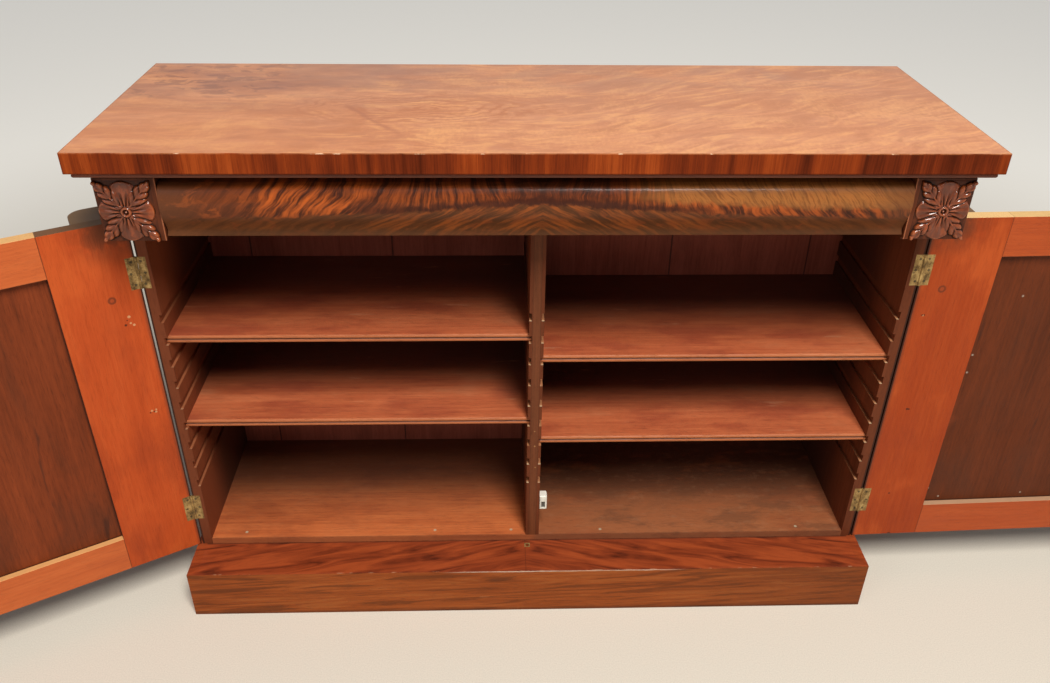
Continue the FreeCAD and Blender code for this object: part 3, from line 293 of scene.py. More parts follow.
def plain_wood(name, grain, tones, seed=0.0, rough=(0.35, 0.5), coat=0.0, place=None, spread=1.0,
               touch=None, specular=0.35, pore=0.3):
    """A wood with no special figure. touch(wood) may change its colour before the pores."""
    wood = Wood(name, grain, place)
    wood.tones(*tones, seed=seed, spread=spread)
    if touch:
        touch(wood)
    wood.pores(pore, 0.0003)
    return wood.finish(wood.sheen(*rough), coat=coat, specular=specular)


def top_ribbons(wood):
    """Orange and rose ribbons, livelier away from the left end, and paled at the right and the rear by a
    painted reflection.
    """
    x, y, _ = wood.axes
    swell = wood.cloud((5.0, 9.0, 1.0), (0.9, 0.3, 0), turn=0.12, detail=6.0, rough=0.6, distortion=1.3)
    wood.tint((0.76, 0.34, 0.13), wood.band(swell, 0.5, 0.64), 0.4)
    wood.tint((0.46, 0.17, 0.078), wood.band(swell, 0.49, 0.35), 0.45)
    rise = wood.minus(y, wood.times(x, wood.band(x, -0.15, 0.3), 0.42))
    ribbon = wood.figure(wood.times(x, 9.0), wood.times(rise, 28.0), 3.0, detail=6.0, rough=0.6,
                         distortion=1.5)
    lively = wood.plus(wood.times(wood.band(x, -0.5, -0.2), 0.55), 0.45)
    wood.tint((0.82, 0.38, 0.14), wood.band(ribbon, 0.5, 0.66), lively, 0.6)
    wood.tint((0.47, 0.165, 0.06), wood.band(ribbon, 0.5, 0.36), lively, 0.65)
    mottle = wood.figure(wood.times(x, 150.0), wood.times(rise, 70.0), 5.0, detail=3.0)
    shimmer = wood.times(wood.band(swell, 0.36, 0.6), lively)
    wood.tint((0.84, 0.42, 0.16), wood.band(mottle, 0.5, 0.66), shimmer, 0.22)
    wood.tint((0.46, 0.16, 0.06), wood.band(mottle, 0.5, 0.36), shimmer, 0.22)
    # Painted reflection: a paler peach at the right and the rear.
    painted_reflection = wood.most(wood.band(x, -0.35, 0.0), wood.band(y, -0.12, 0.05))
    wood.tint((0.72, 0.4, 0.26), painted_reflection, 0.12)


def top_curls(wood):
    """Curls round an eye left of the middle, and a dark vein that leaves it."""
    x, y, _ = wood.axes
    ripple = wood.cloud((7.0, 12.0, 1.0), (2.0, 0, 0), detail=4.0)
    eye_x = wood.times(wood.plus(x, 0.2), 0.7)
    eye_y = wood.times(wood.plus(y, 0.05), 1.9)
    far_out = wood.maths("SQRT", wood.plus(wood.times(eye_x, eye_x), wood.times(eye_y, eye_y)))
    arcs = wood.plus(wood.times(far_out, 240.0), wood.times(ripple, 46.0))
    arcs = wood.band(wood.maths("SINE", arcs), -0.2, 1.0)
    around = wood.times(wood.band(far_out, 0.22, 0.1), wood.band(ripple, 0.34, 0.5))
    wood.tint((0.46, 0.15, 0.055), arcs, around, 0.65)
    vein_x = wood.plus(x, 0.28)
    vein_y = wood.plus(y, 0.11)
    off = wood.plus(wood.times(vein_x, 0.79), wood.times(vein_y, 0.61))
    off = wood.absolute(wood.plus(off, wood.times(wood.minus(ripple, 0.5), 0.06)))
    run = wood.minus(wood.times(vein_x, 0.61), wood.times(vein_y, 0.79))
    vein = wood.times(wood.band(off, 0.009, 0.0), wood.band(wood.absolute(run), 0.13, 0.05))
    wood.tint((0.38, 0.125, 0.06), vein, 0.5)


def top_clouds(wood):
    """Dark clouds and smoke at the left rear, and a painted reflection: a greyer strip along the whole
    rear.
    """
    x, y, _ = wood.axes
    cloud = wood.cloud((4.0, 9.0, 1.0), (0.4, 0.2, 0), detail=5.0, rough=0.58, distortion=0.7)
    rear_left = wood.times(wood.band(x, -0.02, -0.3), wood.band(y, -0.09, 0.02))
    wood.tint((0.31, 0.12, 0.075), wood.band(cloud, 0.42, 0.62), rear_left, 0.6)
    smoke = wood.spots([(-0.44, 0.15, 0, 0.14), (-0.56, 0.2, 0, 0.1)], 0.9,
                       wood.stretched(wood.place, (1.0, 1.6, 0.0)))
    wood.tint((0.3, 0.125, 0.085), smoke, wood.band(cloud, 0.3, 0.5), 0.4)
    speck = wood.cloud((22.0, 36.0, 1.0), (0.4, 0.2, 0), detail=5.0, distortion=0.8)
    corner = wood.times(wood.band(x, -0.36, -0.52), wood.band(y, -0.04, 0.05))
    wood.tint((0.24, 0.095, 0.06), wood.band(speck, 0.5, 0.62), corner, 0.6)
    # Painted reflection: a greyer, duller strip along the whole rear.
    grey = wood.cloud((4.0, 9.0, 1.0), (7.4, 0.2, 0), detail=6.0, distortion=1.0)
    rear = wood.times(wood.band(y, -0.02, 0.14), wood.band(grey, 0.44, 0.6), 0.5)
    wood.tint((0.42, 0.2, 0.125), rear)


def top_veneer():
    """Flame mahogany, paled at the right and the rear by painted reflection."""
    wood = Wood("top_veneer", "X")
    wood.tones((0.48, 0.17, 0.068), (0.61, 0.235, 0.1), (0.7, 0.305, 0.145), seed=1.0, broad=0.8,
               streak=0.2, spread=0.8)
    top_ribbons(wood)
    top_curls(wood)
    top_clouds(wood)
    wood.pores(0.12, 0.0001)
    return wood.finish(wood.sheen(0.34, 0.46), coat=0.1, coat_rough=0.35, specular=0.3)


def cross_banding():
    """Short grain standing upright in patches of orange and dark red brown."""
    wood = Wood("cross_banding", "Z")
    z = wood.axes[2]
    zone = wood.cloud((9.0, 9.0, 1.0), (5.0, 0, 0), detail=2.0)
    patch = wood.cloud((38.0, 38.0, 2.0), (2.0, 0, 0), detail=2.5)
    line = wood.cloud((420.0, 420.0, 10.0), detail=3.0)
    total = wood.plus(wood.times(patch, 0.42), wood.times(line, 0.18))
    total = wood.plus(total, wood.times(zone, 0.4))
    wood.colour = wood.ramp(total, [(0.38, (0.07, 0.012, 0.004)), (0.46, (0.14, 0.022, 0.006)),
                                    (0.53, (0.215, 0.034, 0.007)), (0.61, (0.32, 0.058, 0.011))])
    worn = wood.cloud((36.0, 36.0, 60.0), (7.0, 0, 0), detail=6.0, rough=0.62)
    arris = wood.band(z, TOP_HIGH.z - 0.002, TOP_HIGH.z - 0.0006)
    rubbed = wood.times(arris, wood.band(worn, 0.3, 0.6), 0.6)
    wood.tint((0.5, 0.19, 0.075), rubbed)
    chips = wood.times(arris, wood.band(worn, 0.6, 0.66))
    wood.tint((0.72, 0.45, 0.28), chips)
    # Painted shade along the lower edge of the band, next to the moulding under the top.
    under = wood.band(z, TOP_LOW.z + 0.003, TOP_LOW.z)
    wood.tint((0.04, 0.012, 0.006), under, 0.5)
    wood.fine = line
    wood.pores(0.25, 0.0002)
    return wood.finish(wood.sheen(0.5, 0.6), specular=0.02)


FRIEZE_JOINT = 0.004


def frieze_places(wood):
    """How far from the joint, how high on the cushion (0 to 1), and how far above the arch."""
    x, _, z = wood.axes
    side = wood.absolute(wood.minus(x, FRIEZE_JOINT))
    tall = CUSHION_HIGH.z - CUSHION_LOW.z
    height = wood.maths("DIVIDE", wood.minus(z, CUSHION_LOW.z), tall)
    ragged = wood.cloud((60.0, 60.0, 60.0), (2.0, 0, 0), detail=3.0)
    arch = wood.minus(0.68, wood.minus(wood.times(side, 0.9), wood.times(side, side, 0.65)))
    above = wood.minus(height, arch)
    above = wood.plus(above, wood.times(wood.minus(ragged, 0.5), 0.22))
    return side, height, above


def frieze_plumes(wood, side, height, above, wander):
    """Above the arch: plumes and threads, bright in places and golden at the right, and the dark brow."""
    x = wood.axes[0]
    slope = wood.minus(wood.times(wood.band(side, 0.08, 0.26), 0.125), 0.05)
    lean = wood.plus(side, wood.times(slope, height))
    lean = wood.plus(lean, wood.times(wander, 0.05))
    plume = wood.figure(wood.times(lean, 78.0), wood.times(height, 1.4), 0.0, detail=6.0, rough=0.6)
    thread = wood.figure(wood.times(lean, 270.0), wood.times(height, 4.0), 5.0, detail=4.0, rough=0.6)
    patch = wood.figure(wood.times(x, 9.0), wood.times(height, 1.2), 3.0, detail=3.0)
    wood.fine = plume
    wood.colour = wood.ramp(plume, [(0.36, (0.045, 0.012, 0.005)), (0.5, (0.085, 0.021, 0.007)),
                                    (0.66, (0.16, 0.036, 0.01))])
    wood.tint((0.24, 0.05, 0.012), wood.band(thread, 0.5, 0.68), 0.55)

    bright = wood.times(wood.band(x, -0.5, -0.43), wood.band(x, -0.24, -0.3))
    dim = wood.times(wood.band(x, -0.6, -0.5), wood.band(x, 0.0, -0.1), 0.4)
    right = wood.times(wood.band(x, 0.1, 0.2), 0.9)
    place = wood.most(bright, wood.most(dim, right))
    flame = wood.times(place, wood.band(plume, 0.4, 0.62), wood.band(patch, 0.26, 0.46))
    wood.tint((0.47, 0.098, 0.016), flame, 0.95)
    shade = wood.times(wood.band(thread, 0.5, 0.36), place, 0.35)
    wood.tint((0.1, 0.022, 0.007), shade)

    gold = wood.times(wood.band(x, 0.12, 0.24), wood.band(above, 0.12, 0.26))
    wood.tint((0.33, 0.125, 0.032), gold, 0.85)
    wood.tint((0.14, 0.045, 0.013), gold, wood.band(thread, 0.46, 0.64), 0.7)
    wood.tint((0.12, 0.038, 0.012), gold, wood.band(plume, 0.46, 0.34), 0.4)
    brow = wood.times(wood.band(side, 0.34, 0.2), wood.band(above, -0.08, 0.0),
                      wood.band(above, 0.16, 0.06))
    wood.tint((0.04, 0.01, 0.005), brow, 0.8)


def frieze_rays(wood, side, height, above, wander):
    """Below the arch: dull brown rays, a softer left end, and a dark foot and ends."""
    x = wood.axes[0]
    lean = wood.plus(side, wood.times(height, 0.15))
    lean = wood.plus(lean, wood.times(wander, 0.05))
    ray = wood.figure(wood.times(lean, 60.0), wood.times(height, 2.0), 7.0, detail=6.0, rough=0.62)
    glow = wood.cloud((24.0, 24.0, 40.0), (4.0, 0, 0), detail=5.0, rough=0.62, distortion=0.8)
    soft = wood.band(x, -0.43, -0.52)
    wood.tint((0.13, 0.034, 0.011), soft, 0.65)
    wood.tint((0.34, 0.075, 0.016), soft, wood.band(glow, 0.5, 0.62), 0.7)
    middle = wood.band(side, 0.34, 0.16)
    brown = wood.ramp(ray, [(0.38, (0.084, 0.028, 0.009)), (0.52, (0.128, 0.04, 0.012)),
                            (0.66, (0.18, 0.052, 0.013))])
    redder = wood.times(wood.band(ray, 0.46, 0.62), middle, 0.85)
    brown = wood.mix(redder, brown, (0.29, 0.072, 0.015))
    brown = wood.mix(wood.times(wood.band(glow, 0.5, 0.66), 0.6), brown, (0.22, 0.05, 0.013))
    wood.tint(brown, wood.band(above, 0.03, -0.05))
    wood.tint((0.04, 0.017, 0.007), wood.times(wood.band(height, 0.16, 0.04), 0.7))
    wood.tint((0.12, 0.042, 0.016), wood.times(wood.band(side, 0.52, 0.6), 0.6))


def frieze_veneer():
    """Book-matched flame: a dark brow over the middle, plumes and threads above it, dull rays below."""
    wood = Wood("frieze_veneer", "X")
    side, height, above = frieze_places(wood)
    wander = wood.cloud((7.0, 7.0, 16.0), (1.0, 0, 0), detail=3.0)
    frieze_plumes(wood, side, height, above, wander)
    frieze_rays(wood, side, height, above, wander)
    wood.pores(0.15, 0.0001)
    polished = wood.band(height, 0.25, 0.45)
    dull = wood.times(wood.minus(1.0, polished), 0.5)
    return wood.finish(wood.plus(wood.sheen(0.3, 0.42), dull), coat=wood.times(polished, 0.12),
                       coat_rough=0.18, specular=0.1)


LEDGE_JOINT = -0.012


def ledge_figure(wood):
    """Dark crotch streaks over red brown, mirrored about a joint near the middle."""
    x, y, _ = wood.axes
    side = wood.absolute(wood.minus(x, LEDGE_JOINT))
    swing = wood.plus(wood.times(y, 46.0), wood.times(side, 9.0))
    streak = wood.figure(wood.times(side, 7.0), swing, 0.0, detail=5.0, distortion=1.0)
    colour = wood.ramp(streak, [(0.32, (0.09, 0.016, 0.006)), (0.46, (0.23, 0.04, 0.012)),
                                (0.62, (0.36, 0.068, 0.018))])
    return colour, side, streak


def ledge_veneer():
    """The ledge: its joint, a darker strip along the carcass and the rubbed places on its front edge."""
    wood = Wood("ledge_veneer", "X")
    y = wood.axes[1]
    wood.colour, side, streak = ledge_figure(wood)
    joint = wood.band(side, 0.0011, 0.0004)
    wood.tint((0.03, 0.01, 0.006), joint, 0.4)
    darker_by_carcass = wood.times(wood.band(y, CARCASS_FRONT - 0.006, CARCASS_FRONT), 0.75)
    wood.tint((0.03, 0.011, 0.007), darker_by_carcass)
    worn = wood.cloud((40.0, 40.0, 40.0), (5.0, 0, 0), detail=5.0)
    edge = wood.band(y, PLINTH_LOW.y + 0.0035, PLINTH_LOW.y + 0.001)
    wood.tint((0.5, 0.27, 0.15), edge, wood.band(worn, 0.55, 0.64), 0.6)
    wood.fine = streak
    wood.pores(0.2, 0.0001)
    front = wood.band(y, PLINTH_LOW.y + 0.004, PLINTH_LOW.y + 0.002)
    return wood.finish(wood.plus(wood.sheen(0.36, 0.5), wood.times(front, 0.5)), specular=0.2)


def plinth_wood():
    """Plain brown mahogany with a worn top arris."""
    def worn_edge(wood):
        x, y, z = wood.axes
        patch = wood.cloud((22.0, 22.0, 60.0), (3.3, 0, 0), detail=7.0, rough=0.7)
        ragged = wood.plus(z, wood.times(patch, 0.007))
        arris = wood.band(ragged, PLINTH_HIGH.z + 0.0006, PLINTH_HIGH.z + 0.0016)
        middle = wood.times(wood.band(x, -0.2, -0.1), wood.band(x, 0.34, 0.26))
        wood.tint((0.6, 0.47, 0.37), arris, middle, 0.85)
        lean = wood.plus(z, wood.times(x, -0.06))
        figure = wood.figure(wood.times(x, 5.0), wood.times(lean, 75.0), 2.0, detail=5.0, distortion=0.8)
        wood.tint((0.1, 0.027, 0.007), wood.band(figure, 0.5, 0.62), 0.6)
        wood.tint((0.4, 0.12, 0.028), wood.band(figure, 0.46, 0.36), 0.4)
        scuff = wood.cloud((18.0, 18.0, 90.0), (1.3, 0, 0), detail=5.0)
        wood.tint((0.42, 0.17, 0.07), wood.band(scuff, 0.66, 0.74), 0.4)
        wood.tint((0.12, 0.035, 0.011), wood.band(x, 0.2, 0.6), 0.3)
        foot = wood.times(wood.band(z, 0.012, 0.0), 0.6)
        wood.tint((0.05, 0.018, 0.009), foot)
        end = wood.times(wood.facing_up(), wood.band(y, PLINTH_LOW.y + 0.003, PLINTH_LOW.y + 0.005), 0.9)
        wood.tint(ledge_figure(wood)[0], end)
    tones = ((0.16, 0.034, 0.007), (0.28, 0.062, 0.011), (0.38, 0.092, 0.018))
    return plain_wood("plinth_wood", "X", tones, seed=4.0, rough=(0.4, 0.54), touch=worn_edge,
                      specular=0.12)


# --- Doors ---

def door_place(side):
    """The mapping from the row frame to a door: x along it from its hinge, z up, and y through it.

    y runs outwards on the right door and inwards on the left one.
    """
    joint = joint_of(side + "_door_hinge")
    turn = math.radians(-joint["range_deg"][0])
    toward = Vector((math.cos(turn), -math.sin(turn)))
    if side == "right":
        toward.x = -toward.x
    angle = -math.atan2(toward.y, toward.x)
    pivot = Matrix.Rotation(angle, 3, "Z") @ Vector(joint["pos_m"])

    def mapped(surface):
        return surface.stretched(surface.place, (1, 1, 1), (-pivot.x, -pivot.y, 0), angle)
    return mapped


# Marks on the stiles' inner faces as (along, up, radius), and pin heads on the right panel as (along, up).
STILE_MARKS = {
    "left": {
        "ring": [(0.0541, 0.7388, 0.0055)],
        "pale": [(0.033, 0.6995, 0.0034), (0.0275, 0.6810, 0.003), (0.0325, 0.6860, 0.0024),
                 (0.0335, 0.4870, 0.0028), (0.0265, 0.4825, 0.0028), (0.0255, 0.4875, 0.0022)],
        "dark": [(0.0415, 0.6840, 0.003), (0.0375, 0.6930, 0.0016), (0.0295, 0.4840, 0.0022),
                 (0.0370, 0.4835, 0.002)],
    },
    "right": {
        "ring": [(0.0479, 0.7412, 0.006)],
        "pale": [(0.0253, 0.6843, 0.0022)],
        "dark": [(0.0233, 0.6853, 0.0022), (0.0275, 0.6853, 0.002), (0.0464, 0.4633, 0.0032),
                 (0.0502, 0.4628, 0.0026), (0.0598, 0.2382, 0.0026), (0.0852, 0.1195, 0.0045)],
    },
}
RIGHT_PANEL_PINS = [(0.2206, 0.7146), (0.1574, 0.5822), (0.1576, 0.5403), (0.1528, 0.2368),
                    (0.1815, 0.2125), (0.3675, 0.2154), (0.6260, 0.3900), (0.6250, 0.6400)]
PIN_RADIUS = 0.0032
KNOT_OVER_RING = 1.5
RING_HALF_WIDTH = 0.003

# A door's sizes: along it from its hinge, from its inner face towards its outside, and up.
STILE_REACH = 0.1452
MEETING_START = 0.63815
PANEL_FACE = 0.013
DOOR_OUTER = 0.0242
PANEL_LOW = 0.2
PANEL_TOP = 0.8061


def on_face(places, depth=0.0):
    """Round places (along, up, radius) on a face at one depth, as (x, y, z, radius)."""
    return [(along, depth, up, radius) for along, up, radius in places]


def outer_face(wood, side):
    """The outside of a door's frame is veneered, a good deal darker than its inside."""
    w = wood.axes[1]
    outward = wood.times(w, -1.0) if side == "left" else w
    veneer = wood.band(outward, DOOR_OUTER - 0.0018, DOOR_OUTER - 0.0012)
    wave = wood.cloud((26.0, 26.0, 7.0), (9.0, 0, 0), detail=6.0, rough=0.6, distortion=0.8)
    show = wood.ramp(wave, [(0.36, (0.065, 0.013, 0.005)), (0.5, (0.15, 0.031, 0.009)),
                            (0.64, (0.26, 0.06, 0.016))])
    wood.tint(show, veneer, 0.92)


def stile_wood(side):
    """Bright orange-red inner face, with knots, old screw holes, painted shade along the hinge edge, and
    painted light and shade on the tops.
    """
    def marks(wood):
        u, _, z = wood.axes
        cloud = wood.cloud((11.0, 11.0, 4.5), (2.0, 0, 1.0), detail=4.0)
        wood.tint((0.3, 0.044, 0.012), wood.band(cloud, 0.48, 0.68), 0.6)
        wood.tint((0.62, 0.12, 0.025), wood.band(cloud, 0.47, 0.32), 0.4)
        # Painted shade: darker towards the hinge edge.
        edge = wood.times(wood.band(u, 0.01, 0.002), 0.8)
        wood.tint((0.2, 0.045, 0.018), edge)
        rubbed = wood.cloud((28.0, 28.0, 20.0), (5.0, 0, 1.0), detail=5.0)
        head = wood.times(wood.band(z, 0.8, 0.87), wood.band(u, 0.12, 0.04), wood.band(rubbed, 0.34, 0.54))
        wood.tint((0.1, 0.032, 0.014), head, 0.9)
        # Painted shade: near black at the hinge edge's arris, beside the gap.
        hinge_arris_shade = wood.band(u, 0.0036, 0.002)
        wood.tint((0.03, 0.012, 0.008), hinge_arris_shade, 0.9)
        joint = wood.times(wood.band(u, STILE_REACH - 0.0012, STILE_REACH - 0.0002),
                           wood.band(u, STILE_REACH + 0.02, STILE_REACH + 0.01))
        joint_too = wood.times(wood.band(u, MEETING_START + 0.0012, MEETING_START + 0.0002),
                               wood.band(u, MEETING_START - 0.02, MEETING_START - 0.01))
        wood.tint((0.1, 0.025, 0.012), wood.most(joint, joint_too), 0.75)
        own = STILE_MARKS[side]
        knot = [(along, up, radius * KNOT_OVER_RING) for along, up, radius in own["ring"]]
        wood.tint((0.24, 0.05, 0.02), wood.spots(on_face(knot), 0.8), 0.45)
        wood.tint((0.12, 0.03, 0.013), wood.rings(on_face(own["ring"]), RING_HALF_WIDTH), 0.7)
        wood.tint((0.62, 0.33, 0.16), wood.spots(on_face(own["pale"])), 0.8)
        wood.tint((0.06, 0.018, 0.01), wood.spots(on_face(own["dark"])), 0.85)
    # Painted light and shade on the upward faces: a pale highlight on the right door's tops and dark shade
    # on the left door's.
    top = (0.13, 0.075, 0.035) if side == "left" else (0.86, 0.57, 0.25)

    def all_faces(wood):
        marks(wood)
        outer_face(wood, side)
        wood.tint(top, wood.facing_up(), 0.9)
    tones = ((0.37, 0.051, 0.01), (0.48, 0.073, 0.015), (0.57, 0.105, 0.024))
    if side == "right":
        tones = ((0.26, 0.035, 0.007), (0.35, 0.051, 0.01), (0.42, 0.074, 0.016))
    return plain_wood(side + "_stile_wood", "Z", tones, seed=6.0 if side == "left" else 11.0,
                      rough=(0.45, 0.6), place=door_place(side), spread=0.7, touch=all_faces, specular=0.12,
                      pore=0.12)


def rail_wood(side):
    """Inner face a little yellower than the stiles, and dusty cream on its upper edges, partly painted
    light from above.
    """
    def marks(wood):
        u, _, z = wood.axes
        cloud = wood.cloud((4.5, 9.0, 11.0), (4.0, 0, 1.0), detail=4.0)
        wood.tint((0.4, 0.075, 0.022), wood.band(cloud, 0.5, 0.7), 0.4)
        outer_face(wood, side)
        up = wood.facing_up()
        # Dust and painted light on the upward faces, and a painted highlight on the top rail's upper edge.
        dust = (0.78, 0.42, 0.16) if side == "left" else (0.5, 0.32, 0.19)
        wood.tint(dust, up, 0.85)
        high = (0.75, 0.42, 0.16) if side == "left" else (0.74, 0.47, 0.19)
        wood.tint(high, up, wood.band(z, 0.87, 0.88))
        ends = wood.most(wood.band(u, STILE_REACH + 0.0014, STILE_REACH + 0.0003),
                         wood.band(u, MEETING_START - 0.0014, MEETING_START - 0.0003))
        wood.tint((0.12, 0.03, 0.012), ends, 0.6)
        # Painted shade along the lower edge of the top rail, over the panel.
        under = wood.times(wood.band(z, PANEL_TOP + 0.002, PANEL_TOP), wood.band(z, 0.5, 0.6))
        wood.tint((0.09, 0.025, 0.012), under, 0.7)
    tones = ((0.42, 0.075, 0.018), (0.55, 0.12, 0.03), (0.64, 0.165, 0.045))
    if side == "right":
        tones = ((0.31, 0.046, 0.01), (0.42, 0.072, 0.015), (0.5, 0.1, 0.023))
    return plain_wood(side + "_rail_wood", "X", tones, seed=8.0, rough=(0.42, 0.56),
                      place=door_place(side), spread=0.7, touch=marks, specular=0.2, pore=0.12)


def panel_wood(side):
    """Dark red-brown panel: soft clouds, a few dark streaks, painted shade round its edges, and at the
    right the pale heads of pins.
    """
    def marks(wood):
        u, _, z = wood.axes
        cloud = wood.cloud((7.0, 7.0, 3.2), (1.0, 0, 2.0), detail=4.0, distortion=0.5)
        wood.tint((0.085, 0.024, 0.01), wood.band(cloud, 0.48, 0.7), 0.55)
        wood.tint((0.27, 0.052, 0.015), wood.band(cloud, 0.45, 0.3), 0.4)
        blaze = wood.cloud((34.0, 34.0, 5.0), (6.0, 0, 2.0), detail=3.0, distortion=0.6)
        wood.tint((0.05, 0.016, 0.009), wood.band(blaze, 0.64, 0.76), 0.7)
        # Painted shade: darker next to the stiles and rails, in the corners of the recess.
        shade_by_stiles = wood.most(wood.band(u, STILE_REACH + 0.006, STILE_REACH),
                           wood.band(u, MEETING_START - 0.006, MEETING_START))
        shade_by_rails = wood.most(wood.band(z, PANEL_LOW + 0.006, PANEL_LOW),
                           wood.band(z, PANEL_TOP - 0.008, PANEL_TOP))
        wood.tint((0.03, 0.011, 0.007), wood.most(shade_by_stiles, shade_by_rails), 0.8)
        if side == "right":
            pins = on_face([(*pin, PIN_RADIUS) for pin in RIGHT_PANEL_PINS], PANEL_FACE)
            wood.tint((0.42, 0.34, 0.27), wood.spots(pins, 0.6), 0.75)
    tones = ((0.11, 0.022, 0.006), (0.185, 0.035, 0.009), (0.25, 0.048, 0.012))
    if side == "right":
        tones = ((0.07, 0.015, 0.004), (0.115, 0.024, 0.006), (0.155, 0.032, 0.008))
    return plain_wood(side + "_panel_wood", "Z", tones, seed=2.0 if side == "left" else 13.0,
                      rough=(0.46, 0.6), place=door_place(side), touch=marks, specular=0.15)


def console_wood(side):
    """Polished mahogany, grey-brown with dust on top."""
    def dust(wood):
        wood.tint((0.2, 0.12, 0.058), wood.facing_up(), 0.85)
    tones = ((0.07, 0.019, 0.009), (0.15, 0.038, 0.014), (0.24, 0.06, 0.02))
    return plain_wood(side + "_console_wood", "Z", tones, seed=5.0, rough=(0.36, 0.5),
                      place=door_place(side), touch=dust, specular=0.12)


# --- Other materials ---

def moulding_wood():
    """Dark polished mahogany of the mouldings and beads."""
    tones = ((0.075, 0.021, 0.011), (0.15, 0.042, 0.02), (0.22, 0.062, 0.029))
    return plain_wood("moulding_wood", "X", tones, seed=5.0, rough=(0.34, 0.46), coat=0.05, specular=0.25)


def block_wood():
    """Red brown, with a painted highlight along the arris beside the drawer."""
    def arris(wood):
        x, y, _ = wood.axes
        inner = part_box("frieze_block_right")[0].x
        # Painted highlight: a lighter line along the front arris beside the drawer.
        near = wood.band(wood.absolute(x), inner + 0.0022, inner + 0.0008)
        front = wood.band(y, BLOCK_FACE + 0.003, BLOCK_FACE + 0.001)
        wood.tint((0.5, 0.17, 0.075), near, front, 0.6)
    tones = ((0.045, 0.011, 0.005), (0.1, 0.024, 0.008), (0.15, 0.036, 0.012))
    return plain_wood("block_wood", "Z", tones, seed=16.0, rough=(0.34, 0.46), touch=arris, specular=0.15)


def carved_wood():
    """Polished carving: painted shade, near black, in its hollows, red brown on its faces and a painted
    highlight on its crests.
    """
    wood = Wood("carved_wood", "Z")
    wood.tones((0.06, 0.013, 0.004), (0.14, 0.029, 0.008), (0.27, 0.055, 0.013), seed=5.5, broad=0.7,
               streak=0.3)
    patch = wood.cloud((70.0, 70.0, 45.0), (2.0, 0, 0), detail=4.0)
    wood.tint((0.34, 0.07, 0.017), wood.band(patch, 0.5, 0.66), 0.55)
    wood.tint((0.075, 0.02, 0.008), wood.band(patch, 0.48, 0.34), 0.5)
    hollow_shade = wood.add("ShaderNodeAttribute", attribute_name="hollow_shade").outputs["Fac"]
    # Painted shade in the hollows.
    wood.tint((0.01, 0.004, 0.002), wood.band(hollow_shade, 0.0, 0.8), 0.92)
    shine = wood.band(hollow_shade, 0.6, 0.15)
    # Painted highlight on the crests.
    crest_highlight = wood.add("ShaderNodeAttribute", attribute_name="crest_highlight").outputs["Fac"]
    wood.tint((0.4, 0.11, 0.036), wood.band(crest_highlight, 0.15, 0.9), 0.5)
    wood.pores(0.15, 0.0001)
    return wood.finish(wood.sheen(0.24, 0.36), coat=wood.times(shine, 0.6), coat_rough=0.12,
                       specular=0.12)


SHELVES = ("shelf_left_upper", "shelf_left_lower", "shelf_right_upper", "shelf_right_lower")


def shelf_wood():
    """Waxed red mahogany with a lighter rubbed nosing and pale scuffs, and painted shade at the rear,
    beside the partition and in the bead quirks.
    """
    def wear(wood):
        x, y, z = wood.axes
        cloud = wood.cloud((5.0, 14.0, 5.0), (2.0, 1.0, 0), detail=4.0)
        wood.tint((0.28, 0.05, 0.024), wood.band(cloud, 0.46, 0.66), 0.6)
        wood.tint((0.52, 0.19, 0.085), wood.band(cloud, 0.44, 0.3), 0.4)
        # Painted shade: darker towards the rear, under the shelf or top above.
        rear = wood.times(wood.band(y, -0.07, 0.12), 0.85)
        wood.tint((0.05, 0.024, 0.017), rear)
        # Painted shadow of the partition on the left bay's shelves.
        partition_shadow = wood.times(wood.band(x, -0.1, -0.03), wood.band(x, 0.0, -0.01),
                                 wood.band(y, -0.12, 0.0), 0.6)
        wood.tint((0.06, 0.022, 0.014), partition_shadow)
        nose = wood.times(wood.band(y, SHELF_FRONT + 0.004, SHELF_FRONT + 0.001), 0.7)
        wood.tint((0.4, 0.125, 0.04), nose)
        # Painted shade in the quirks of the nosing beads.
        quirk_shade = 0.0
        for shelf in SHELVES:
            low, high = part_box(shelf)
            off = wood.absolute(wood.minus(z, (low.z + high.z) / 2))
            quirk_shade = wood.most(wood.band(off, 0.0026, 0.0008), quirk_shade)
        front = wood.band(y, SHELF_FRONT + 0.004, SHELF_FRONT + 0.002)
        wood.tint((0.05, 0.015, 0.008), quirk_shade, front, 0.8)
        scuff = wood.cloud((9.0, 60.0, 9.0), (7.0, 0, 0), detail=5.0)
        wood.tint((0.55, 0.26, 0.14), wood.band(scuff, 0.66, 0.74), 0.35)
    tones = ((0.34, 0.068, 0.026), (0.48, 0.12, 0.045), (0.58, 0.17, 0.068))
    return plain_wood("shelf_wood", "X", tones, seed=7.0, rough=(0.42, 0.56), touch=wear, specular=0.3)


# The floor's nail heads, as (across, back).
NAIL_RADIUS = 0.0042
NAILS = ((-0.6201, -0.1097), (-0.2094, -0.1105), (-0.0419, -0.1118), (0.155, -0.1137), (0.592, -0.112))


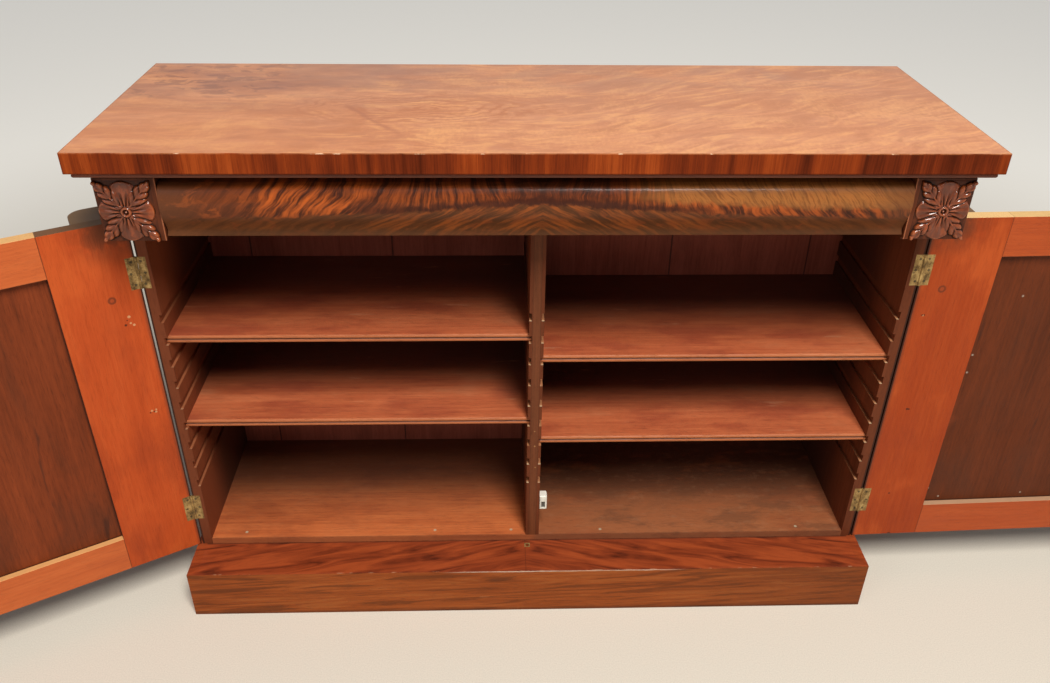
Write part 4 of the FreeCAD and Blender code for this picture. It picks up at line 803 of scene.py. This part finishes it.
def floor_wood():
    """Stained floor: orange on the left, browner and scuffed on the right, nail heads along the front, and
    painted shade towards the rear.
    """
    def wear(wood):
        x, y, _ = wood.axes
        cloud = wood.cloud((5.0, 11.0, 5.0), (3.0, 2.0, 0), detail=6.0, rough=0.65)
        right = wood.band(x, 0.0, 0.02)
        wood.tint((0.3, 0.105, 0.042), right, 0.85)
        wood.tint((0.24, 0.046, 0.016), wood.band(cloud, 0.46, 0.7), 0.45)
        # Painted shade: darker towards the rear.
        rear = wood.times(wood.band(y, -0.12, 0.1), 0.85)
        wood.tint((0.06, 0.024, 0.014), rear)
        stain = wood.cloud((7.0, 16.0, 7.0), (5.0, 1.0, 0), detail=6.0, rough=0.66)
        wood.tint((0.14, 0.055, 0.027), right, wood.band(stain, 0.5, 0.62), 0.5)
        wood.tint((0.34, 0.1, 0.035), right, wood.band(stain, 0.48, 0.36), 0.4)
        scuff = wood.cloud((30.0, 44.0, 30.0), (7.0, 0, 0), detail=7.0, rough=0.74)
        pale = wood.times(wood.band(scuff, 0.5, 0.75), wood.plus(wood.times(right, 0.2), 0.1))
        wood.tint((0.38, 0.19, 0.1), pale)
        lip = wood.times(wood.band(y, CARCASS_FRONT + 0.004, CARCASS_FRONT + 0.001), 0.5)
        wood.tint((0.13, 0.045, 0.022), lip)
        heads = [(*nail, FLOOR_TOP, NAIL_RADIUS) for nail in NAILS]
        wood.tint((0.5, 0.42, 0.28), wood.spots(heads, 0.5), 0.8)
    tones = ((0.38, 0.08, 0.024), (0.56, 0.145, 0.042), (0.66, 0.2, 0.062))
    return plain_wood("floor_wood", "X", tones, seed=9.0, rough=(0.45, 0.6), touch=wear, specular=0.3)


def groove_wear(wood):
    """Rubbed lower faces and pale front ends of the shelf grooves, painted light on the left side, painted
    shade towards the rear, and painted shade on the dark outer arrises.
    """
    x, y, z = wood.axes
    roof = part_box("dust_board")[0].z
    up = wood.times(wood.facing_up(), wood.band(y, 0.06, -0.13), wood.band(z, roof, roof - 0.002))
    wood.tint((0.46, 0.2, 0.09), up, 0.8)
    chipped = wood.cloud((60.0, 60.0, 60.0), (1.0, 0, 0), detail=4.0)
    ends = wood.times(up, wood.band(y, CARCASS_FRONT + 0.007, CARCASS_FRONT + 0.001),
                      wood.band(chipped, 0.4, 0.55))
    wood.tint((0.66, 0.47, 0.28), ends)
    # Painted light: the left side lighter, as though lit more from the right.
    wood.tint((0.27, 0.07, 0.028), wood.band(x, -0.5, -0.6), 0.6)
    side = wood.absolute(x)
    inner = wood.band(side, 0.7, 0.69)
    # Painted shade: the inner faces of the sides darker towards the rear.
    rear = wood.times(wood.band(y, -0.1, 0.06), inner, 0.8)
    wood.tint((0.035, 0.015, 0.01), rear)
    front = wood.band(y, CARCASS_FRONT + 0.002, CARCASS_FRONT + 0.0005)
    wood.tint((0.1, 0.026, 0.01), front, 0.5)
    # Painted shade on the outer front arrises, beside the door gaps.
    dark = wood.times(wood.band(side, 0.7075, 0.71), front, 0.9)
    wood.tint((0.03, 0.012, 0.008), dark)


def carcass_wood():
    """Dull brown mahogany, with the wear of the grooves."""
    tones = ((0.1, 0.026, 0.01), (0.165, 0.042, 0.016), (0.24, 0.062, 0.023))
    return plain_wood("carcass_wood", "Z", tones, seed=3.0, rough=(0.45, 0.6), touch=groove_wear,
                      specular=0.1)


def core_wood():
    """The partition's front edge: brown, with the dark lines of its linings and small light chips."""
    def wear(wood):
        x = wood.axes[0]
        centre = (CORE_LOW.x + CORE_HIGH.x) / 2
        half = (CORE_HIGH.x - CORE_LOW.x) / 2
        off = wood.absolute(wood.minus(x, centre))
        line = wood.band(off, half - 0.0011, half - 0.0002)
        wood.tint((0.04, 0.013, 0.007), line, 0.6)
        chips = on_face([(0.0047, 0.4154, 0.002), (0.0054, 0.3772, 0.0024), (0.0074, 0.3213, 0.0022)],
                        CARCASS_FRONT)
        wood.tint((0.45, 0.23, 0.09), wood.spots(chips, 0.6), 0.7)
    tones = ((0.1, 0.03, 0.012), (0.155, 0.046, 0.018), (0.21, 0.062, 0.024))
    return plain_wood("core_wood", "Z", tones, seed=17.0, rough=(0.45, 0.6), touch=wear, specular=0.12)


# One joint between two back boards, and a board's width.
BACK_JOINT = -0.606
BACK_PITCH = 0.3075


def back_wood():
    """Stained upright boards with a dark line at each joint."""
    def depth(wood):
        x = wood.axes[0]
        cloud = wood.cloud((8.0, 8.0, 3.0), (3.0, 0, 0), detail=4.0)
        wood.tint((0.13, 0.03, 0.016), wood.band(cloud, 0.48, 0.7), 0.6)
        along = wood.minus(x, BACK_JOINT)
        from_joint = wood.maths("PINGPONG", along, BACK_PITCH / 2)
        joint = wood.band(from_joint, 0.0022, 0.0008)
        wood.tint((0.03, 0.01, 0.007), joint, 0.8)
    tones = ((0.25, 0.055, 0.032), (0.38, 0.095, 0.055), (0.48, 0.125, 0.075))
    return plain_wood("back_wood", "Z", tones, seed=12.0, rough=(0.5, 0.65), touch=depth, specular=0.25)


def softwood():
    """Pale pine, with painted shade where the rail under the top shows above the drawer."""
    def stain(wood):
        y = wood.axes[1]
        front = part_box("top_frame")[0].y
        # Painted shade: the rail's front, dark under the moulding.
        wood.tint((0.09, 0.026, 0.012), wood.band(y, front + 0.002, front + 0.001), 0.9)
    tones = ((0.36, 0.21, 0.1), (0.48, 0.31, 0.16), (0.58, 0.4, 0.23))
    return plain_wood("softwood", "X", tones, seed=14.0, rough=(0.6, 0.75), touch=stain)


def drawer_oak():
    """Plain oak of the drawer's inside."""
    tones = ((0.36, 0.21, 0.1), (0.46, 0.28, 0.14), (0.55, 0.36, 0.19))
    return plain_wood("drawer_oak", "Y", tones, seed=15.0, rough=(0.5, 0.65))


def aged_brass(name="aged_brass", tones=((0.13, 0.075, 0.026), (0.33, 0.2, 0.068), (0.55, 0.37, 0.14))):
    """Brass gone brown, with brighter rubbed places and darker edges of old polish."""
    brass = Surface(name)
    patch = brass.cloud((70, 70, 50), detail=6.0, rough=0.62)
    fine = brass.cloud((420, 420, 420), detail=3.0)
    total = brass.plus(brass.times(patch, 0.75), brass.times(fine, 0.25))
    brass.colour = brass.ramp(total, [(0.38, tones[0]), (0.5, tones[1]), (0.62, tones[2])])
    stain = brass.cloud((110, 110, 110), (3, 1, 0), detail=4.0)
    brass.tint((0.055, 0.03, 0.014), brass.band(stain, 0.6, 0.7), 0.6)
    brass.bump(fine, 0.00008)
    return brass.finish(brass.band(total, 1.1, 0.1), metal=0.55)


def steel():
    """Grey steel with brown patches."""
    metal = Surface("steel")
    patch = metal.cloud((220, 220, 220), detail=5.0)
    metal.colour = metal.ramp(patch, [(0.35, (0.2, 0.17, 0.14)), (0.6, (0.48, 0.46, 0.43))])
    metal.bump(patch, 0.00006)
    return metal.finish(metal.band(patch, 1.3, 0.0), metal=0.9)


def white_plastic():
    """The catch: yellowed white, with painted shade inside its mouth."""
    plastic = Surface("white_plastic")
    patch = plastic.cloud((90, 90, 90), detail=4.0)
    plastic.colour = plastic.ramp(patch, [(0.3, (0.68, 0.64, 0.54)), (0.6, (0.82, 0.79, 0.7))])
    x, y, z = plastic.apart(plastic.place)
    low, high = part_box("catch_housing")
    edges = ((y, low.y + 0.001, low.y + 0.003), (y, low.y + 0.0095, low.y + 0.0085),
             (x, low.x + 0.0035, low.x + 0.0042), (x, high.x - 0.0035, high.x - 0.0042),
             (z, low.z + 0.0045, low.z + 0.0052), (z, low.z + 0.0225, low.z + 0.0218))
    # Painted shade inside the catch's mouth.
    inside = plastic.times(*(plastic.band(*edge) for edge in edges))
    plastic.tint((0.05, 0.04, 0.032), inside, 0.93)
    plastic.bump(plastic.cloud((1500, 1500, 1500)), 0.00003)
    return plastic.finish(0.35)


# --- Carved flowers ---

# Sizes in millimetres; a spread is a half width over the distance from the middle.
MM = 1000
BOSS_EDGE = 9.4
LEAF_SPREAD = 0.54
LEAF_HALF = 14.5
LOBE_PITCH = 15.5
PETAL_SPREAD = 0.6
RING_RADIUS = 6.6
RING_TOP = 7.9
BUTTON_TOP = 6.6
CARVING_GROUND = 0.4
CARVING_TOP = 7.95
LEAF_GAP = 0.8
BORDER = 0.8
RELIEF_FULL = 1.1
GROUND_SHOWS = 1.7
SOFTENED_CELLS = 1
RELIEF_CELLS = 9
FLOWER_COLUMNS = 190
FLOWER_ROWS = 214


def corner_leaf(along, across, length):
    """A broad pointed leaf: two halves that dip to a thin rib, cut into lobes that sweep forward."""
    s = np.clip(along / length, 0, 1)
    v = np.abs(across)
    lobe = np.abs(np.cos(math.pi * (along - 1.1 * v - 4.0) / LOBE_PITCH)) ** 0.8
    taper = LEAF_HALF * np.clip((1 - s) / 0.45, 0, 1) ** 0.6
    width = np.minimum(LEAF_SPREAD * along, taper) * (0.84 + 0.18 * lobe) + 0.3
    t = np.clip(v / width, 0, 1)
    inside = (along > BOSS_EDGE) & (along < length) & (v < width)
    half = np.sin(math.pi * t ** 0.7)
    cut = np.clip(v / 2.5, 0, 1) * (1 - lobe)
    body = 4.2 + 1.0 * s + 2.7 * half - 3.2 * cut
    rib = 2.0 * np.exp(-(v / 0.9) ** 2) * np.clip(1.4 - s, 0.4, 1)
    edge = np.clip((1 - t) * 4.5, 0, 1) ** 0.6
    return np.where(inside, (body + rib) * edge, 0.0)


def side_petal(along, across, length):
    """A wide petal with a round end, fluted near the boss and smooth and dished further out."""
    s = np.clip(along / length, 0, 1)
    v = np.abs(across)
    round_end = np.sqrt(np.clip(1 - np.clip((s - 0.5) / 0.5, 0, 1) ** 2.4, 0, 1))
    width = PETAL_SPREAD * np.minimum(along, 0.82 * length) * round_end + 0.3
    t = np.clip(v / width, 0, 1)
    inside = (along > BOSS_EDGE) & (along < length) & (v < width)
    flute = 0.5 + 0.5 * np.cos(math.pi * v / (0.17 * np.maximum(along, 1.0)))
    fade = np.clip(1.5 - 1.25 * s, 0.25, 1)
    body = 2.3 + 1.0 * (1 - t ** 2) + 2.2 * flute * fade
    edge = np.clip((1 - t) * 4.0, 0, 1) ** 0.6
    return np.where(inside, body * edge, 0.0)


def flower_height(x, z, half_w, half_h):
    """Height of the carving over its block: four petals and four leaves round a ring and a button."""
    diagonal = math.atan2(half_h, half_w)
    reach = math.hypot(half_w, half_h)
    height = np.full_like(x, CARVING_GROUND)
    for shape, angle, length in ((side_petal, 0, half_w), (side_petal, math.pi / 2, half_h),
                                 (side_petal, math.pi, half_w), (side_petal, -math.pi / 2, half_h),
                                 (corner_leaf, diagonal, reach), (corner_leaf, math.pi - diagonal, reach),
                                 (corner_leaf, math.pi + diagonal, reach), (corner_leaf, -diagonal, reach)):
        along = x * math.cos(angle) + z * math.sin(angle)
        across = -x * math.sin(angle) + z * math.cos(angle)
        height = np.maximum(height, shape(along, across, length - LEAF_GAP))
    r = np.hypot(x, z)
    ring = RING_TOP - 0.38 * (r - RING_RADIUS) ** 2
    button = BUTTON_TOP - 0.3 * r ** 2
    height = np.maximum(height, np.maximum(ring, button))
    return np.minimum(height, CARVING_TOP)


def blurred(field, cells):
    """The field smoothed over a few cells each way."""
    kernel = np.hanning(2 * cells + 3)[1:-1]
    kernel = kernel / kernel.sum()
    padded = np.pad(field, cells, mode="edge")
    columns = np.apply_along_axis(np.convolve, 0, padded, kernel, "valid")
    return np.apply_along_axis(np.convolve, 1, columns, kernel, "valid")


def carved_flower(side, material):
    """A carved square flower in place of the plain one."""
    node = "patera_" + side
    low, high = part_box(node)
    centre = (low + high) / 2
    half_w = (high.x - low.x) / 2 * MM
    half_h = (high.z - low.z) / 2 * MM
    across, up = np.meshgrid(np.linspace(-half_w, half_w, FLOWER_COLUMNS),
                             np.linspace(-half_h, half_h, FLOWER_ROWS))
    height = blurred(flower_height(across, up, half_w - BORDER / 2, half_h - BORDER / 2), SOFTENED_CELLS)
    border = np.minimum(half_w - np.abs(across), half_h - np.abs(up))
    height = height * np.clip(border / BORDER, 0.0, 1)
    verts = [(centre.x + px / MM, high.y - h / MM, centre.z + pz / MM)
             for px, pz, h in zip(across.ravel(), up.ravel(), height.ravel())]
    faces = []
    for row in range(FLOWER_ROWS - 1):
        for column in range(FLOWER_COLUMNS - 1):
            a = row * FLOWER_COLUMNS + column
            faces.append((a, a + 1, a + 1 + FLOWER_COLUMNS, a + FLOWER_COLUMNS))
    mesh = bpy.data.meshes.new("carved_flower_" + side)
    mesh.from_pydata(verts, [], faces)
    # Fields for the painted shade in the hollows and the painted highlight on the crests.
    relief = (height - blurred(height, RELIEF_CELLS)) / RELIEF_FULL
    ground = 0.5 * np.clip(GROUND_SHOWS - height, 0, 1)
    for name, field in (("hollow_shade", np.maximum(-relief, ground)), ("crest_highlight", relief)):
        attribute = mesh.attributes.new(name, "FLOAT", "POINT")
        attribute.data.foreach_set("value", np.clip(field, 0, 1).ravel().astype(np.float32))
    mesh.polygons.foreach_set("use_smooth", [True] * len(faces))
    mesh.materials.append(material)
    flower = bpy.data.objects.new("carved_flower_" + side, mesh)
    bpy.context.scene.collection.objects.link(flower)
    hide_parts(node)
    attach(flower, "carcass")


# --- Putting the finishes on ---

def dress(node, material):
    """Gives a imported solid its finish."""
    mesh = NODES[node].data
    mesh.materials.clear()
    mesh.materials.append(material)


def dress_all():
    """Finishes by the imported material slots, then those that only some nodes have."""
    shared = {make.__name__: make() for make in (
        top_veneer, cross_banding, frieze_veneer, ledge_veneer, plinth_wood, moulding_wood, shelf_wood,
        floor_wood, carcass_wood, back_wood, softwood, drawer_oak, aged_brass, steel, white_plastic)}
    slots = {part["node"]: part["material_slot"] for part in frame["record"]["subparts"]}
    for node, slot in slots.items():
        if slot in shared:
            dress(node, shared[slot])
    dress("partition_core", core_wood())
    dress("drawer_stops", shared["carcass_wood"])
    screws = aged_brass("screw_brass", ((0.05, 0.03, 0.014), (0.12, 0.08, 0.035), (0.22, 0.15, 0.065)))
    for node in ("carcass_screws", "left_door_screws", "right_door_screws", "hinge_pins"):
        dress(node, screws)
    block = block_wood()
    carving = carved_wood()
    for side in ("left", "right"):
        stile = stile_wood(side)
        dress(side + "_door_hinge_stile", stile)
        dress(side + "_door_meeting_stile", stile)
        dress(side + "_door_rails", rail_wood(side))
        dress(side + "_door_panel", panel_wood(side))
        dress(side + "_door_console", console_wood(side))
        dress("frieze_block_" + side, block)
        carved_flower(side, carving)


# --- Surroundings ---

FLOOR_SIZE = 60
# The floor glows by this much as seen by the camera, from the first distance fully by the second.
GLOW = 0.42
GLOW_STARTS = 1.4
GLOW_FULL = 3.6
# The sky's strength as a lamp, and as the camera or a polished surface sees it.
SKY_LIGHT = 0.17
SKY_SEEN = 0.5


def floor():
    """A wide pale floor, which fills the view behind the piece too and glows where the lamps fade."""
    bpy.ops.mesh.primitive_grid_add(x_subdivisions=2, y_subdivisions=2, size=FLOOR_SIZE)
    plane = bpy.context.object
    plane.name = "studio_floor"
    ground = Surface("studio_floor")
    fleck = ground.cloud((350, 350, 350), detail=3.0)
    ground.colour = ground.ramp(fleck, [(0.3, (0.68, 0.63, 0.54)), (0.7, (0.77, 0.72, 0.62))])
    ground.finish(0.9, specular=0.1)
    centre = ground.add("ShaderNodeVectorMath", operation="LENGTH")
    ground.put(centre.inputs[0], ground.place)
    far = ground.band(centre.outputs["Value"], GLOW_STARTS, GLOW_FULL)
    path = ground.add("ShaderNodeLightPath")
    seen = ground.most(path.outputs["Is Camera Ray"], path.outputs["Is Glossy Ray"])
    ground.shader.inputs["Emission Color"].default_value = (0.97, 0.96, 0.93, 1)
    ground.put(ground.shader.inputs["Emission Strength"], ground.times(far, seen, GLOW))
    plane.data.materials.append(ground.material)


def world():
    """A dim even sky for the object, pale where the camera or a polished surface looks at it."""
    scene = bpy.context.scene
    scene.world = bpy.data.worlds.new("studio")
    scene.world.use_nodes = True
    tree = scene.world.node_tree
    background = tree.nodes["Background"]
    background.inputs["Color"].default_value = (0.96, 0.97, 1.0, 1)
    path = tree.nodes.new("ShaderNodeLightPath")
    seen = tree.nodes.new("ShaderNodeMath")
    seen.operation = "MAXIMUM"
    tree.links.new(path.outputs["Is Camera Ray"], seen.inputs[0])
    tree.links.new(path.outputs["Is Glossy Ray"], seen.inputs[1])
    strength = tree.nodes.new("ShaderNodeMapRange")
    strength.inputs["To Min"].default_value = SKY_LIGHT
    strength.inputs["To Max"].default_value = SKY_SEEN
    tree.links.new(seen.outputs[0], strength.inputs["Value"])
    tree.links.new(strength.outputs["Result"], background.inputs["Strength"])


def soft_light(name, place, target, size, power, colour):
    """A rectangular lamp that looks at a target."""
    data = bpy.data.lights.new(name, "AREA")
    data.shape = "RECTANGLE"
    data.size, data.size_y = size
    data.energy = power
    data.color = colour
    lamp = bpy.data.objects.new(name, data)
    lamp.location = place
    lamp.rotation_euler = (Vector(target) - Vector(place)).to_track_quat("-Z", "Y").to_euler()
    bpy.context.scene.collection.objects.link(lamp)


def camera():
    """The photograph's own view."""
    data = bpy.data.cameras.new("camera")
    data.sensor_width = SENSOR
    data.lens = FOCAL_PIXELS / PHOTO_WIDTH * SENSOR
    data.clip_end = 100
    eye = bpy.data.objects.new("camera", data)
    eye.location = CAMERA_PLACE
    eye.rotation_euler = [math.radians(a) for a in CAMERA_TILT]
    bpy.context.scene.collection.objects.link(eye)
    bpy.context.scene.camera = eye


bpy.context.scene.view_settings.view_transform = "Standard"
camera()
world()
floor()
soft_light("key", (0.85, -2.9, 4.7), (0, -0.15, 0.5), (1.3, 2.0), 300, (1.0, 0.97, 0.92))
soft_light("fill", (-2.4, -2.6, 2.4), (0, 0, 0.6), (1.8, 1.8), 16, (1.0, 0.97, 0.93))
dress_all()
